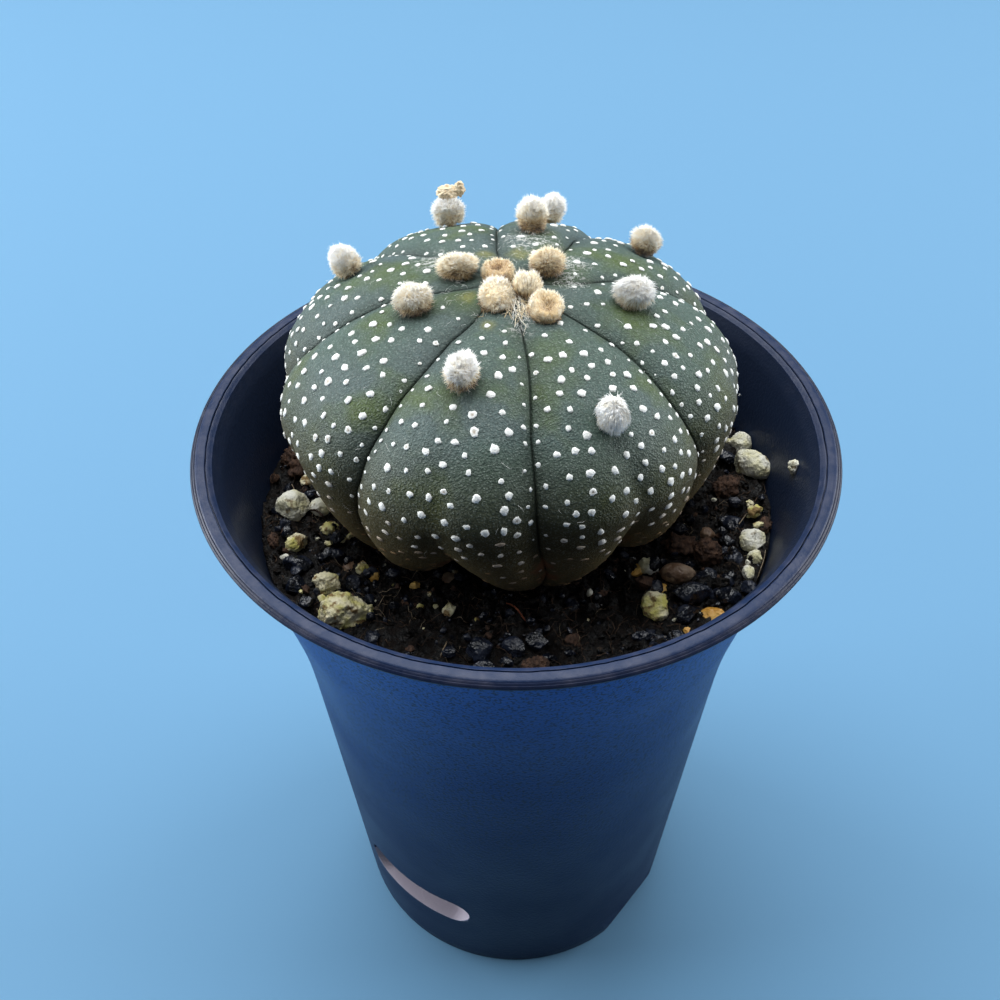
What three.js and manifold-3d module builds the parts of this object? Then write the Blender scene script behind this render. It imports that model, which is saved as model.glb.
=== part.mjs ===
// A star cactus in a small round plastic pot, in millimetres, +Z up.
// The origin is the middle of the pot's foot, and the pot and the plant face -Y.
import * as THREE from "three";
import { mergeVertices } from "three/addons/utils/BufferGeometryUtils.js";
import Module from "manifold-3d";

const wasm = await Module();
wasm.setup();

// Air left between two pieces that touch on the real plant.
const GAP = 0.3;

const POT = {
  height: 112,
  rimRadius: 45,
  mouthRadius: 42,
  footRadius: 30.9,
  footRingWidth: 2.4,
  wall: 1,
  floorLow: 3,
  floorTop: 4.2,
  floorCorner: 0.6, // how far the floor's edge draws in from the wall
  lowerTaper: 0.054, // growth of the radius per millimetre of height
  flareStart: 79,
  flareTaper: 0.155, // what the collar adds to the taper above flareStart
  flareBend: 4, // softness of the bend into the collar
  rimThickness: 1.6,
  rimEdge: 0.7, // rounding of the rim's outer edge
  rimBevel: 1.3, // width of the sloping band inside the rim's flat band
  footEdge: 0.4, // rounding at the edges of the foot ring
  segments: 48,
};

// Drainage: two pockets with a ledge, and between them two straight notches at the foot.
const POCKET = { low: 16, high: 24, depth: 3, halfAngle: 21, endAngle: 7, cheekAngle: 3, azimuths: [-127, 53] };
const NOTCH = { height: 7, halfAngle: 17, cut: 6, azimuths: [-41, 139] };

const SOIL = {
  level: 96.7,
  sag: 0.4, // how much lower it lies under the plant
  openFrom: 22, // the relief begins this far from the plant's middle
  openTo: 27,
  crumb: 0.7, // height of the relief
  wave: 0.4, // height of its slow rise and fall
  radii: [15, 22, 25.5, 29, 32.5, 36, 40], // rings on which its top is measured
  columns: 28,
  // A low bank against the wall on the right, on which two white stones lie.
  bank: { azimuth: 8, height: 1.4, from: 31, to: 36, inner: 14, outer: 32 },
  rootHoleRadius: 10.8,
  rootHoleDepth: 18,
};

const BODY = {
  centre: [-1, 5],
  radius: 32.2,
  equator: 116.3,
  topRise: 15.1,
  bottomDrop: 23.7,
  shoulder: 0.8, // exponents that square the outline above and below the equator
  belly: 0.51,
  grooveDepth: 2.5,
  grooveSharpness: 3.3,
  grooveFade: 0.7, // exponent by which the grooves fade out towards the crown
  grooveDip: 0.5, // share of its depth by which a groove lowers the skin on top
  tuckIn: 9, // how far a rib's middle draws in and up underneath
  tuckUp: 5.7,
  restHeight: 98.5, // below this the underside flattens out over the soil
  flatten: 0.35,
  lastPolar: 150,
  neckRadius: 10.4,
  neckHeight: 97.4,
  rootRadius: 9,
  rootHeight: 86,
  rootTip: 80.5,
};

// Azimuths of the eight grooves, in degrees.
const GROOVES = [-83.5, -37.5, 12.5, 57, 94, 138, 186, 233];
const RIB_COUNT = GROOVES.length;

const FLECK = {
  radius: 0.55,
  height: 0.5,
  root: 0.6,
  sides: 5,
  spacing: 5.5,
  rowShare: 0.87, // distance between rows over the distance within a row
  jitter: 0.35,
  lastPolar: 138,
  margin: 0.07, // share of a rib's width kept free beside each groove
  seed: 11,
};
const CROWN_CLEAR = 9.5; // no flecks within this distance of the crown's middle
const TUFT_CLEAR = 3.6;

// The wool's surface: balls of short points that stand out of a rounder core.
const WOOL = { columns: 10, rows: 5, point: 0.3, hollow: -0.15, ruffle: 0.3, squash: 0.92, crownDimple: 0.25 };

// Wool tufts: azimuth and polar angle in degrees, radius, height above the skin, and the tint.
const TUFTS = [
  { name: "areole_wool_front_left", at: [253, 30], radius: 2.35, rise: 1.9, tint: "white" },
  { name: "areole_wool_front_right", at: [298.5, 46.5], radius: 2.3, rise: 1.9, tint: "white" },
  { name: "areole_wool_right", at: [351, 25.5], radius: 2.5, rise: 2, tint: "white" },
  { name: "areole_wool_back_right", at: [37, 45.5], radius: 2.3, rise: 1.9, tint: "white" },
  { name: "areole_wool_back_inner", at: [77, 26.5], radius: 2.4, rise: 2.1, tint: "white" },
  { name: "areole_wool_back_outer", at: [74, 47], radius: 2.1, rise: 2.1, tint: "white" },
  { name: "areole_wool_back_left", at: [109.5, 44.5], radius: 2.4, rise: 2, tint: "white" },
  { name: "areole_wool_left_back", at: [155.5, 44], radius: 2.3, rise: 1.9, tint: "white" },
  { name: "areole_wool_left", at: [200.5, 18], radius: 2.5, rise: 2, tint: "white" },
  { name: "areole_wool_crown_left", at: [157.5, 8.3], radius: 2.3, rise: 1.6, tint: "tan" },
  { name: "areole_wool_crown_right", at: [24, 7.7], radius: 2.2, rise: 1.7, tint: "tan" },
];

// The youngest tufts, grown together over the growing point: offsets from the crown's middle.
const CROWN_TUFTS = [
  { x: -1, y: 1.6, radius: 2.3, rise: 1.2 },
  { x: -0.9, y: -4, radius: 2.5, rise: 1.3 },
  { x: 2.7, y: -2.6, radius: 1.8, rise: 1.6 },
  { x: 4.7, y: -6.2, radius: 2.3, rise: 1.6 },
];
const CROWN_NEIGHBOURS = ["areole_wool_crown_left", "areole_wool_crown_right"];
// The low bed of wool that joins them.
const CROWN_BED = { x: 1.1, y: -2.4, rise: 0.5, half: [4.8, 3.6, 1.4], turn: -52 };
const CROWN_FALL = 0.012; // the crown's drop per square millimetre from its middle

// The dried flower on the back left tuft, as two small lumps over the tuft's top.
const BUD = {
  on: "areole_wool_back_left",
  height: 5,
  rough: 0.12,
  lumps: [
    { offset: [0.3, 0, 0], size: [1.6, 1.3, 1.1] },
    { offset: [2, 0, 0.7], size: [0.8, 0.8, 1.3] },
  ],
};

// Loose stones and bits on the soil: place, half sizes, turn about Z in degrees, and what they are.
const STONES = [
  { name: "pumice_yellow_large", at: [-23.7, -22.5], half: [3.1, 2.8, 2.7], turn: 20, kind: "pumice_yellow" },
  { name: "pumice_white_left", at: [-33.2, -1.8], half: [2.3, 2.3, 2.2], turn: -30, kind: "pumice_white" },
  { name: "pumice_white_behind", at: [-29, -1.6], half: [1.6, 1.5, 1.4], turn: 10, kind: "pumice_white" },
  { name: "pumice_chip_left", at: [-31.9, -9], half: [1.8, 1.3, 1.2], turn: 10, kind: "pumice_yellow" },
  { name: "pebble_green_round", at: [-26.4, -17.1], half: [2, 1.8, 1.8], turn: 0, kind: "pumice_yellow" },
  { name: "pebble_left_upper", at: [-30.7, -13.1], half: [2.4, 1.4, 1.3], turn: -8, kind: "pebble_black" },
  { name: "pebble_left_lower", at: [-30.7, -17.1], half: [1.6, 1.3, 1.4], turn: 50, kind: "pebble_black" },
  { name: "pebble_left_inner", at: [-22.9, -16.8], half: [1.2, 1.3, 1.4], turn: 25, kind: "pebble_black" },
  { name: "bark_chip_left", at: [-35.2, -8.4], half: [0.7, 1.5, 0.9], turn: 15, kind: "bark" },
  { name: "bark_lump_far_left", at: [-34.4, 9.6], half: [1.9, 2.3, 1.3], turn: -20, kind: "bark" },
  { name: "pumice_white_oval", at: [36.3, 4.1], half: [2.9, 1.8, 2.3], turn: -38, rise: 1, kind: "pumice_white" },
  { name: "pumice_cream", at: [35.5, 9.7], half: [1.7, 1.6, 1.9], turn: -50, rise: 0.9, kind: "pumice_white" },
  { name: "pumice_crumbly", at: [34.1, -9.9], half: [1.9, 1.7, 1.6], turn: 0, kind: "pumice_white" },
  { name: "pumice_small_upper", at: [34, -12.9], half: [1.1, 1, 1], turn: 20, kind: "pumice_white" },
  { name: "pumice_small_lower", at: [32.5, -15.7], half: [0.8, 1.2, 0.9], turn: -10, kind: "pumice_white" },
  { name: "bark_lump_right", at: [32.6, 1.2], half: [2.3, 2, 1.5], turn: 10, kind: "bark" },
  { name: "peat_lump_right", at: [27.3, -12], half: [2, 1.8, 1.7], turn: -25, kind: "bark" },
  { name: "pebble_right_upper", at: [32, -6.3], half: [1.5, 1.6, 1.2], turn: 0, kind: "pebble_black" },
  { name: "pebble_brown_smooth", at: [22.6, -15.8], half: [2.3, 1.4, 1.4], turn: -5, kind: "pebble_brown" },
  { name: "pebble_black_large", at: [23.8, -19.5], half: [2.9, 1.6, 1.4], turn: 3, kind: "pebble_black" },
  { name: "pebble_right_lower", at: [22.9, -23.1], half: [1.7, 1.3, 1.3], turn: 20, kind: "pebble_black" },
  { name: "pebble_black_far_right", at: [29, -20.2], half: [1.7, 1.4, 1.3], turn: -30, kind: "pebble_black" },
  { name: "pebble_amber", at: [26.7, -23.3], half: [1.8, 1.2, 1.2], turn: -20, kind: "pebble_amber" },
  { name: "pumice_green", at: [18.8, -21.8], half: [1.9, 2, 2], turn: 12, kind: "pumice_yellow" },
  { name: "pebble_black_front_left", at: [-5.2, -28.7], half: [2, 1.8, 1.6], turn: 5, kind: "pebble_black" },
  { name: "pebble_black_front", at: [-0.8, -28.5], half: [1.5, 1.5, 1.4], turn: 40, kind: "pebble_black" },
  { name: "pebble_black_front_right", at: [2.5, -27.4], half: [1.2, 1.5, 1.3], turn: 70, kind: "pebble_black" },
  { name: "bark_chip_front", at: [2, -31.2], half: [1.8, 1.1, 0.9], turn: 15, kind: "bark" },
];
// Share of its half height that a stone's middle lies above the soil, unless the stone says more.
const STONE_RISE = 0.3;
const LARGE_STONE = 2; // a stone with a half size above this gets a finer surface
const STONE_ROUGHNESS = { pumice_white: 0.1, pumice_yellow: 0.13, bark: 0.16, pebble_black: 0.07 };
const SMOOTH_STONE = 0.04;

const MATERIALS = {
  pot: { color: 0x1b3560, roughness: 0.42 },
  soil: { color: 0x231c17, roughness: 0.95 },
  cactus: { color: 0x56674f, roughness: 0.7 },
  white: { color: 0xd8d2c6, roughness: 0.95 },
  tan: { color: 0xb79c6b, roughness: 0.95 },
  bud: { color: 0xd2bd98, roughness: 0.9 },
  pumice_white: { color: 0xbdb9a6, roughness: 0.9 },
  pumice_yellow: { color: 0xb5ab74, roughness: 0.9 },
  pebble_black: { color: 0x1b222e, roughness: 0.3 },
  pebble_brown: { color: 0x7a5a3e, roughness: 0.6 },
  pebble_amber: { color: 0xb07a2c, roughness: 0.45 },
  bark: { color: 0x5a3b28, roughness: 0.95 },
};

const potted = new THREE.Group();
const radians = THREE.MathUtils.degToRad;

// A seeded stream of numbers from 0 to 1.
function randomFrom(seed) {
  let state = seed >>> 0;
  return () => {
    state = (state + 0x6d2b79f5) >>> 0;
    let mixed = Math.imul(state ^ (state >>> 15), 1 | state);
    mixed = (mixed + Math.imul(mixed ^ (mixed >>> 7), 61 | mixed)) ^ mixed;
    return ((mixed ^ (mixed >>> 14)) >>> 0) / 4294967296;
  };
}

// A closed three.js geometry as a solid that can be joined and cut.
function solidOf(geometry) {
  geometry.deleteAttribute("normal");
  geometry.deleteAttribute("uv");
  const merged = mergeVertices(geometry, 1e-3);
  const mesh = new wasm.Mesh({
    numProp: 3,
    vertProperties: new Float32Array(merged.attributes.position.array),
    triVerts: new Uint32Array(merged.index.array),
  });
  return new wasm.Manifold(mesh);
}

// The solid back as a geometry for a mesh.
function geometryOf(solid) {
  const mesh = solid.getMesh();
  const geometry = new THREE.BufferGeometry();
  geometry.setAttribute("position", new THREE.BufferAttribute(mesh.vertProperties, mesh.numProp));
  geometry.setIndex(new THREE.BufferAttribute(mesh.triVerts, 1));
  geometry.computeVertexNormals();
  return geometry;
}

// Adds a solid to the model as a named mesh in its own material.
function addPiece(name, solid, look) {
  const material = new THREE.MeshStandardMaterial({ ...MATERIALS[look], metalness: 0 });
  const mesh = new THREE.Mesh(geometryOf(solid), material);
  mesh.name = name;
  potted.add(mesh);
}

// A closed skin over rings of points, from a top pole through the rings to a bottom pole.
// Each ring has the same number of points and runs anticlockwise seen from above.
function ringedGeometry(topPole, rings, bottomPole) {
  const columns = rings[0].length;
  const points = [topPole, ...rings.flat(), bottomPole];
  const last = points.length - 1;
  const faces = [];
  for (let column = 0; column < columns; column++) {
    const next = (column + 1) % columns;
    faces.push(0, 1 + column, 1 + next);
    for (let ring = 0; ring < rings.length - 1; ring++) {
      const upper = 1 + ring * columns;
      const lower = upper + columns;
      faces.push(upper + column, lower + column, lower + next);
      faces.push(upper + column, lower + next, upper + next);
    }
    const final = 1 + (rings.length - 1) * columns;
    faces.push(final + column, last, final + next);
  }
  const geometry = new THREE.BufferGeometry();
  const coordinates = new Float32Array(points.flatMap((point) => point.toArray()));
  geometry.setAttribute("position", new THREE.BufferAttribute(coordinates, 3));
  geometry.setIndex(faces);
  return geometry;
}

// A solid of revolution about Z from [radius, height] points that start and end on the axis.
function turned(profile, segments) {
  const points = profile.map(([radius, height]) => new THREE.Vector2(radius, height));
  const geometry = new THREE.LatheGeometry(points, segments);
  geometry.rotateX(Math.PI / 2);
  return solidOf(geometry);
}

// Radius of the pot's outside at a height: a slender cone with a soft bend into a flaring collar.
function potRadius(height) {
  const bend = POT.flareBend;
  const collar = bend * Math.log(1 + Math.exp((height - POT.flareStart) / bend));
  return POT.footRadius + POT.lowerTaper * height + POT.flareTaper * collar;
}

// Heights at which the pot's wall is measured, closer together round the bend.
const WALL_HEIGHTS = [8, 68, 77, 84, 93, 108];

// The pot's section from the middle of its underside, up the outside, over the rim and down inside.
// A fine groove runs round the rim between its flat band and its sloping one.
function potProfile() {
  const outside = WALL_HEIGHTS.map((height) => [potRadius(height), height]);
  const inside = [...outside].reverse().map(([radius, height]) => [radius - POT.wall, height]);
  const under = POT.height - POT.rimThickness;
  const ringOuter = POT.footRadius - POT.footEdge;
  const ringInner = ringOuter - POT.footRingWidth;
  const bandInner = POT.mouthRadius + POT.rimBevel;
  return [
    [0, POT.floorLow],
    [ringInner - POT.footEdge, POT.floorLow],
    [ringInner, 0],
    [ringOuter, 0],
    [POT.footRadius, 0.6],
    ...outside,
    [potRadius(under), under],
    [POT.rimRadius - POT.rimEdge, under],
    [POT.rimRadius, under + POT.rimEdge],
    [POT.rimRadius - 0.5, POT.height],
    [bandInner, POT.height],
    [bandInner - 0.15, POT.height - 0.25],
    [bandInner - 0.3, POT.height - 0.05],
    [POT.mouthRadius, POT.height - 0.6],
    [POT.mouthRadius - 0.6, POT.height - 1.8],
    ...inside,
    [potRadius(POT.floorTop) - POT.wall - POT.floorCorner, POT.floorTop],
    [0, POT.floorTop],
  ];
}

// A block bent round the axis. Its ends are square where endAngle is 0, and otherwise round over that angle.
function bentBlock({ azimuth, halfAngle, low, high, inner, outer, endAngle }) {
  const sections = 10;
  const bluntest = 0.02; // keeps a round end from closing to an edge
  const middle = (low + high) / 2;
  const rings = [];
  for (let step = 0; step <= sections; step++) {
    const share = -Math.cos((Math.PI * step) / sections);
    const angle = radians(azimuth + halfAngle * share);
    const past = Math.max(0, Math.abs(halfAngle * share) - (halfAngle - endAngle));
    const round = endAngle > 0 ? Math.sqrt(Math.max(bluntest, 1 - (past / endAngle) ** 2)) : 1;
    const half = ((high - low) / 2) * round;
    const corner = (radius, height) =>
      new THREE.Vector3(radius * Math.cos(angle), radius * Math.sin(angle), height);
    rings.push([
      corner(outer, middle - half),
      corner(outer, middle + half),
      corner(inner, middle + half),
      corner(inner, middle - half),
    ]);
  }
  const centreOf = (ring) => ring.reduce((sum, point) => sum.add(point), new THREE.Vector3()).divideScalar(4);
  return solidOf(ringedGeometry(centreOf(rings[0]), rings, centreOf(rings[sections])));
}

// What stands behind a drainage pocket, grown by some air when the soil is cut to clear it.
function pocketBacking(azimuth, air) {
  const wallMiddle = potRadius((POCKET.low + POCKET.high) / 2) - POT.wall / 2;
  return bentBlock({
    azimuth,
    halfAngle: POCKET.halfAngle + POCKET.cheekAngle + air,
    low: POCKET.low - POT.wall - air,
    high: POCKET.high + POT.wall + air,
    inner: wallMiddle - POCKET.depth - POT.wall / 2 - air,
    outer: wallMiddle,
    endAngle: 0,
  });
}

// The pocket that is cut into the wall.
function pocketHollow(azimuth) {
  const wallMiddle = potRadius((POCKET.low + POCKET.high) / 2) - POT.wall / 2;
  return bentBlock({
    azimuth,
    halfAngle: POCKET.halfAngle,
    low: POCKET.low,
    high: POCKET.high,
    inner: wallMiddle - POCKET.depth + POT.wall / 2,
    outer: wallMiddle + POCKET.depth,
    endAngle: POCKET.endAngle,
  });
}

// A straight cut across the foot, which opens the corner of wall and floor.
function footNotch(azimuth) {
  const past = 2; // how far the cutter reaches beyond the foot
  const reach = potRadius(NOTCH.height);
  const chord = reach * Math.cos(radians(NOTCH.halfAngle));
  const length = 2 * reach * Math.sin(radians(NOTCH.halfAngle)) + NOTCH.cut;
  const box = new THREE.BoxGeometry(NOTCH.cut, length, NOTCH.height + past);
  box.translate(chord + NOTCH.cut / 2, 0, (NOTCH.height - past) / 2);
  box.rotateZ(radians(azimuth));
  return solidOf(box);
}

function makePot() {
  let pot = turned(potProfile(), POT.segments);
  for (const azimuth of POCKET.azimuths) {
    pot = pot.add(pocketBacking(azimuth, 0)).subtract(pocketHollow(azimuth));
  }
  for (const azimuth of NOTCH.azimuths) {
    pot = pot.subtract(footNotch(azimuth));
  }
  return pot;
}

// The space inside the pot, a gap clear of its wall, floor and pocket backings.
function potHollow() {
  const wallLine = WALL_HEIGHTS.map((height) => [potRadius(height) - POT.wall - GAP, height]);
  const low = POT.floorTop + GAP;
  const floorEdge = potRadius(low) - POT.wall - POT.floorCorner - GAP;
  const high = WALL_HEIGHTS[WALL_HEIGHTS.length - 1] + 1;
  let hollow = turned([[0, low], [floorEdge, low], ...wallLine, [0, high]], POT.segments);
  for (const azimuth of POCKET.azimuths) {
    hollow = hollow.subtract(pocketBacking(azimuth, GAP));
  }
  return hollow;
}

// The rib that an azimuth lies on, and how far across it: 0 at one groove, 1 at the next.
function acrossRib(azimuth) {
  const degrees = THREE.MathUtils.radToDeg(azimuth);
  const turnedBy = THREE.MathUtils.euclideanModulo(degrees - GROOVES[0], 360);
  const starts = GROOVES.map((groove) => groove - GROOVES[0]);
  const rib = starts.findLastIndex((start) => start <= turnedBy);
  const end = rib + 1 < RIB_COUNT ? starts[rib + 1] : 360;
  return { rib, across: (turnedBy - starts[rib]) / (end - starts[rib]) };
}

// Azimuth in radians of a place across a rib.
function ribAzimuth(rib, across) {
  const start = GROOVES[rib];
  const end = rib + 1 < RIB_COUNT ? GROOVES[rib + 1] : GROOVES[0] + 360;
  return radians(start + (end - start) * across);
}

// A point of the cactus's skin. The polar angle runs from 0 at the crown to pi underneath.
function skinPoint(azimuth, polar, grow = 0) {
  const toCrest = 1 - Math.abs(2 * acrossRib(azimuth).across - 1);
  const fade = Math.sin(polar) ** BODY.grooveFade;
  const valley = BODY.grooveDepth * fade * (1 - toCrest) ** BODY.grooveSharpness;
  const below = Math.max(0, (polar - Math.PI / 2) / (Math.PI / 2)) * toCrest ** 2;
  const upper = Math.cos(polar) > 0;
  const outline = Math.sin(polar) ** (upper ? BODY.shoulder : BODY.belly);
  const radius = BODY.radius * outline - valley - BODY.tuckIn * below + grow * Math.sin(polar);
  const rise = (upper ? BODY.topRise : BODY.bottomDrop) * Math.cos(polar);
  const dip = BODY.grooveDip * valley * Math.max(Math.cos(polar), -0.2);
  let height = BODY.equator + rise - dip + BODY.tuckUp * below + grow * Math.cos(polar);
  if (height < BODY.restHeight) {
    height = BODY.restHeight + (height - BODY.restHeight) * BODY.flatten;
  }
  const [x, y] = BODY.centre;
  return new THREE.Vector3(x + radius * Math.cos(azimuth), y + radius * Math.sin(azimuth), height);
}

// The skin's outward direction, from its slope along and across.
function skinNormal(azimuth, polar) {
  const step = 0.02;
  const along = skinPoint(azimuth, polar + step).sub(skinPoint(azimuth, polar - step));
  const across = skinPoint(azimuth + step, polar).sub(skinPoint(azimuth - step, polar));
  return along.cross(across).normalize();
}

// Places across a rib at which the skin is measured, close together by the grooves.
const ACROSS = [0, 0.06, 0.17, 0.32, 0.5, 0.68, 0.83, 0.94];

// The bare body with its neck and root, optionally grown to keep other pieces clear of it.
function bareBody(grow = 0) {
  const rows = 22;
  const rings = [];
  const columns = [];
  for (let rib = 0; rib < RIB_COUNT; rib++) {
    columns.push(...ACROSS.map((across) => ribAzimuth(rib, across)));
  }
  for (let row = 1; row <= rows; row++) {
    const polar = radians((BODY.lastPolar * row) / rows);
    rings.push(columns.map((azimuth) => skinPoint(azimuth, polar, grow)));
  }
  const [x, y] = BODY.centre;
  const at = (azimuth, radius, height) =>
    new THREE.Vector3(x + radius * Math.cos(azimuth), y + radius * Math.sin(azimuth), height);
  const circle = (radius, height) => columns.map((azimuth) => at(azimuth, radius, height));
  rings.push(circle(BODY.neckRadius + grow, BODY.neckHeight - grow));
  rings.push(circle(BODY.rootRadius + grow, BODY.rootHeight));
  const crown = skinPoint(0, 1e-4, grow);
  return solidOf(ringedGeometry(crown, rings, new THREE.Vector3(x, y, BODY.rootTip - grow)));
}

// Turns a geometry's +Z to a direction and moves its origin to a point.
function stand(geometry, point, direction) {
  const turn = new THREE.Quaternion().setFromUnitVectors(new THREE.Vector3(0, 0, 1), direction);
  geometry.applyQuaternion(turn);
  geometry.translate(point.x, point.y, point.z);
  return geometry;
}

const tuftPlaces = TUFTS.map((tuft) => {
  const [azimuth, polar] = tuft.at.map(radians);
  return { ...tuft, point: skinPoint(azimuth, polar), normal: skinNormal(azimuth, polar) };
});

const crownPlaces = CROWN_TUFTS.map((tuft) => {
  const height = skinPoint(0, 1e-4).z - CROWN_FALL * (tuft.x ** 2 + tuft.y ** 2);
  return { ...tuft, point: new THREE.Vector3(BODY.centre[0] + tuft.x, BODY.centre[1] + tuft.y, height) };
});

// Woolly flecks in staggered rows along each rib, even on all sides, clear of the tufts and the crown.
function fleckPlaces() {
  const random = randomFrom(FLECK.seed);
  const crown = skinPoint(0, 1e-4);
  const step = 0.01;
  const places = [];
  const woolly = [...tuftPlaces, ...crownPlaces];
  const clear = (point) =>
    point.distanceTo(crown) > CROWN_CLEAR && woolly.every((tuft) => point.distanceTo(tuft.point) > TUFT_CLEAR);
  for (let rib = 0; rib < RIB_COUNT; rib++) {
    const middle = ribAzimuth(rib, 0.5);
    let travelled = 0;
    let row = 0;
    for (let polar = step; polar < radians(FLECK.lastPolar); polar += step) {
      travelled += skinPoint(middle, polar).distanceTo(skinPoint(middle, polar + step));
      if (travelled < FLECK.spacing * FLECK.rowShare) continue;
      travelled = 0;
      row += 1;
      const width = skinPoint(ribAzimuth(rib, 0), polar).distanceTo(skinPoint(ribAzimuth(rib, 1), polar));
      const count = Math.max(1, Math.round(width / FLECK.spacing));
      for (let place = 0; place < count; place++) {
        const shift = (row % 2 ? 0.25 : 0.75) + (random() - 0.5) * FLECK.jitter;
        const across = THREE.MathUtils.clamp((place + shift) / count, FLECK.margin, 1 - FLECK.margin);
        const azimuth = ribAzimuth(rib, across);
        const point = skinPoint(azimuth, polar);
        if (clear(point)) places.push({ point, normal: skinNormal(azimuth, polar) });
      }
    }
  }
  return places;
}

// One fleck: a small cone whose root is sunk well into the skin.
function fleck({ point, normal }) {
  const tall = FLECK.height + FLECK.root;
  const cone = new THREE.ConeGeometry((FLECK.radius * tall) / FLECK.height, tall, FLECK.sides);
  cone.rotateX(Math.PI / 2);
  cone.translate(0, 0, tall / 2 - FLECK.root);
  return solidOf(stand(cone, point, normal));
}

// A ball of short wool: its surface rises and falls in small points, more at the flanks.
function woolBall({ point, normal, radius, rise, seed, dimple = 0 }) {
  const random = randomFrom(seed);
  const { columns, rows, squash } = WOOL;
  const rings = [];
  for (let row = 1; row <= rows; row++) {
    const polar = (Math.PI * row) / (rows + 1);
    rings.push(
      Array.from({ length: columns }, (_, column) => {
        const azimuth = (2 * Math.PI * (column + (row % 2) / 2)) / columns;
        const point = (column + row) % 2 ? WOOL.point : WOOL.hollow;
        const reach = radius + point + (random() - 0.5) * WOOL.ruffle;
        return new THREE.Vector3(
          reach * Math.sin(polar) * Math.cos(azimuth),
          reach * Math.sin(polar) * Math.sin(azimuth),
          reach * squash * Math.cos(polar),
        );
      }),
    );
  }
  const top = new THREE.Vector3(0, 0, radius * (1 - dimple));
  const ball = ringedGeometry(top, rings, new THREE.Vector3(0, 0, -radius * squash));
  return solidOf(stand(ball, point.clone().addScaledVector(normal, rise), normal));
}

// The ball of one named tuft, optionally grown to keep its neighbours clear.
function tuftWool(name, grow = 0) {
  const index = tuftPlaces.findIndex((place) => place.name === name);
  const tuft = tuftPlaces[index];
  return woolBall({ ...tuft, radius: tuft.radius + grow, seed: 20 + index });
}

// The crown's wool: the youngest tufts, which have grown into one another.
function makeCrownWool() {
  const [x, y] = BODY.centre;
  const crown = skinPoint(0, 1e-4);
  const up = new THREE.Vector3(0, 0, 1);
  const bed = lump({ ...CROWN_BED, centre: [x + CROWN_BED.x, y + CROWN_BED.y, crown.z + CROWN_BED.rise] });
  return crownPlaces
    .map((place, index) => woolBall({ ...place, normal: up, seed: 40 + index, dimple: WOOL.crownDimple }))
    .reduce((sum, ball) => sum.add(ball), bed);
}

// A lump with a rough surface: an icosphere drawn out to its half sizes.
function lump({ centre, half, turn = 0, rough = 0, seed = 1, grow = 0, detail = 1 }) {
  const geometry = new THREE.IcosahedronGeometry(1, detail);
  geometry.deleteAttribute("normal");
  geometry.deleteAttribute("uv");
  const merged = mergeVertices(geometry, 1e-3);
  const random = randomFrom(seed);
  const position = merged.attributes.position;
  for (let index = 0; index < position.count; index++) {
    const swell = 1 + (random() - 0.5) * 2 * rough;
    const [x, y, z] = half.map((size) => size * swell + grow);
    position.setXYZ(index, position.getX(index) * x, position.getY(index) * y, position.getZ(index) * z);
  }
  merged.rotateZ(radians(turn));
  merged.translate(...centre);
  return solidOf(merged);
}

function makeDriedBud() {
  const tuft = tuftPlaces.find((place) => place.name === BUD.on);
  const base = tuft.point.clone().addScaledVector(tuft.normal, BUD.height);
  const lumps = BUD.lumps.map(({ offset, size }, index) => {
    const centre = base.clone().add(new THREE.Vector3(...offset));
    return lump({ centre: centre.toArray(), half: size, rough: BUD.rough, seed: 70 + index });
  });
  return lumps.reduce((sum, piece) => sum.add(piece));
}

// Height of the soil at a place: flat below the plant, crumbly and a little higher by the wall.
function soilHeight(x, y, random) {
  const fromPlant = Math.hypot(x - BODY.centre[0], y - BODY.centre[1]);
  const open = THREE.MathUtils.smoothstep(fromPlant, SOIL.openFrom, SOIL.openTo);
  const crumb = (random() - 0.5) * 2 * SOIL.crumb;
  const wave = SOIL.wave * Math.sin(x * 0.3 + 1) * Math.cos(y * 0.27);
  const { azimuth, height, from, to, inner, outer } = SOIL.bank;
  const aside = Math.abs(THREE.MathUtils.radToDeg(Math.atan2(y, x)) - azimuth);
  const bank = THREE.MathUtils.smoothstep(Math.hypot(x, y), from, to);
  const banked = height * bank * (1 - THREE.MathUtils.smoothstep(aside, inner, outer));
  return SOIL.level - SOIL.sag + banked + open * (SOIL.sag + crumb + wave);
}

// The soil fills the pot up to its crumbly top, with a plain hole for the root and a seat for each stone.
function makeSoil(hollow, seats) {
  const random = randomFrom(5);
  const { columns, radii } = SOIL;
  const top = radii.map((radius) =>
    Array.from({ length: columns }, (_, column) => {
      const azimuth = (2 * Math.PI * column) / columns;
      const x = radius * Math.cos(azimuth);
      const y = radius * Math.sin(azimuth);
      return new THREE.Vector3(x, y, soilHeight(x, y, random));
    }),
  );
  const outermost = top[top.length - 1];
  const low = outermost.map((point) => new THREE.Vector3(point.x, point.y, 0));
  const middle = new THREE.Vector3(0, 0, SOIL.level - SOIL.sag);
  const block = solidOf(ringedGeometry(middle, [...top, low], new THREE.Vector3(0, 0, 0)));
  const { rootHoleRadius, rootHoleDepth } = SOIL;
  const hole = new THREE.CylinderGeometry(rootHoleRadius, rootHoleRadius, 2 * rootHoleDepth, 24);
  hole.rotateX(Math.PI / 2);
  hole.translate(BODY.centre[0], BODY.centre[1], SOIL.level);
  const soil = block.intersect(hollow).subtract(solidOf(hole));
  return seats.reduce((rest, seat) => rest.subtract(seat), soil);
}

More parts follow.
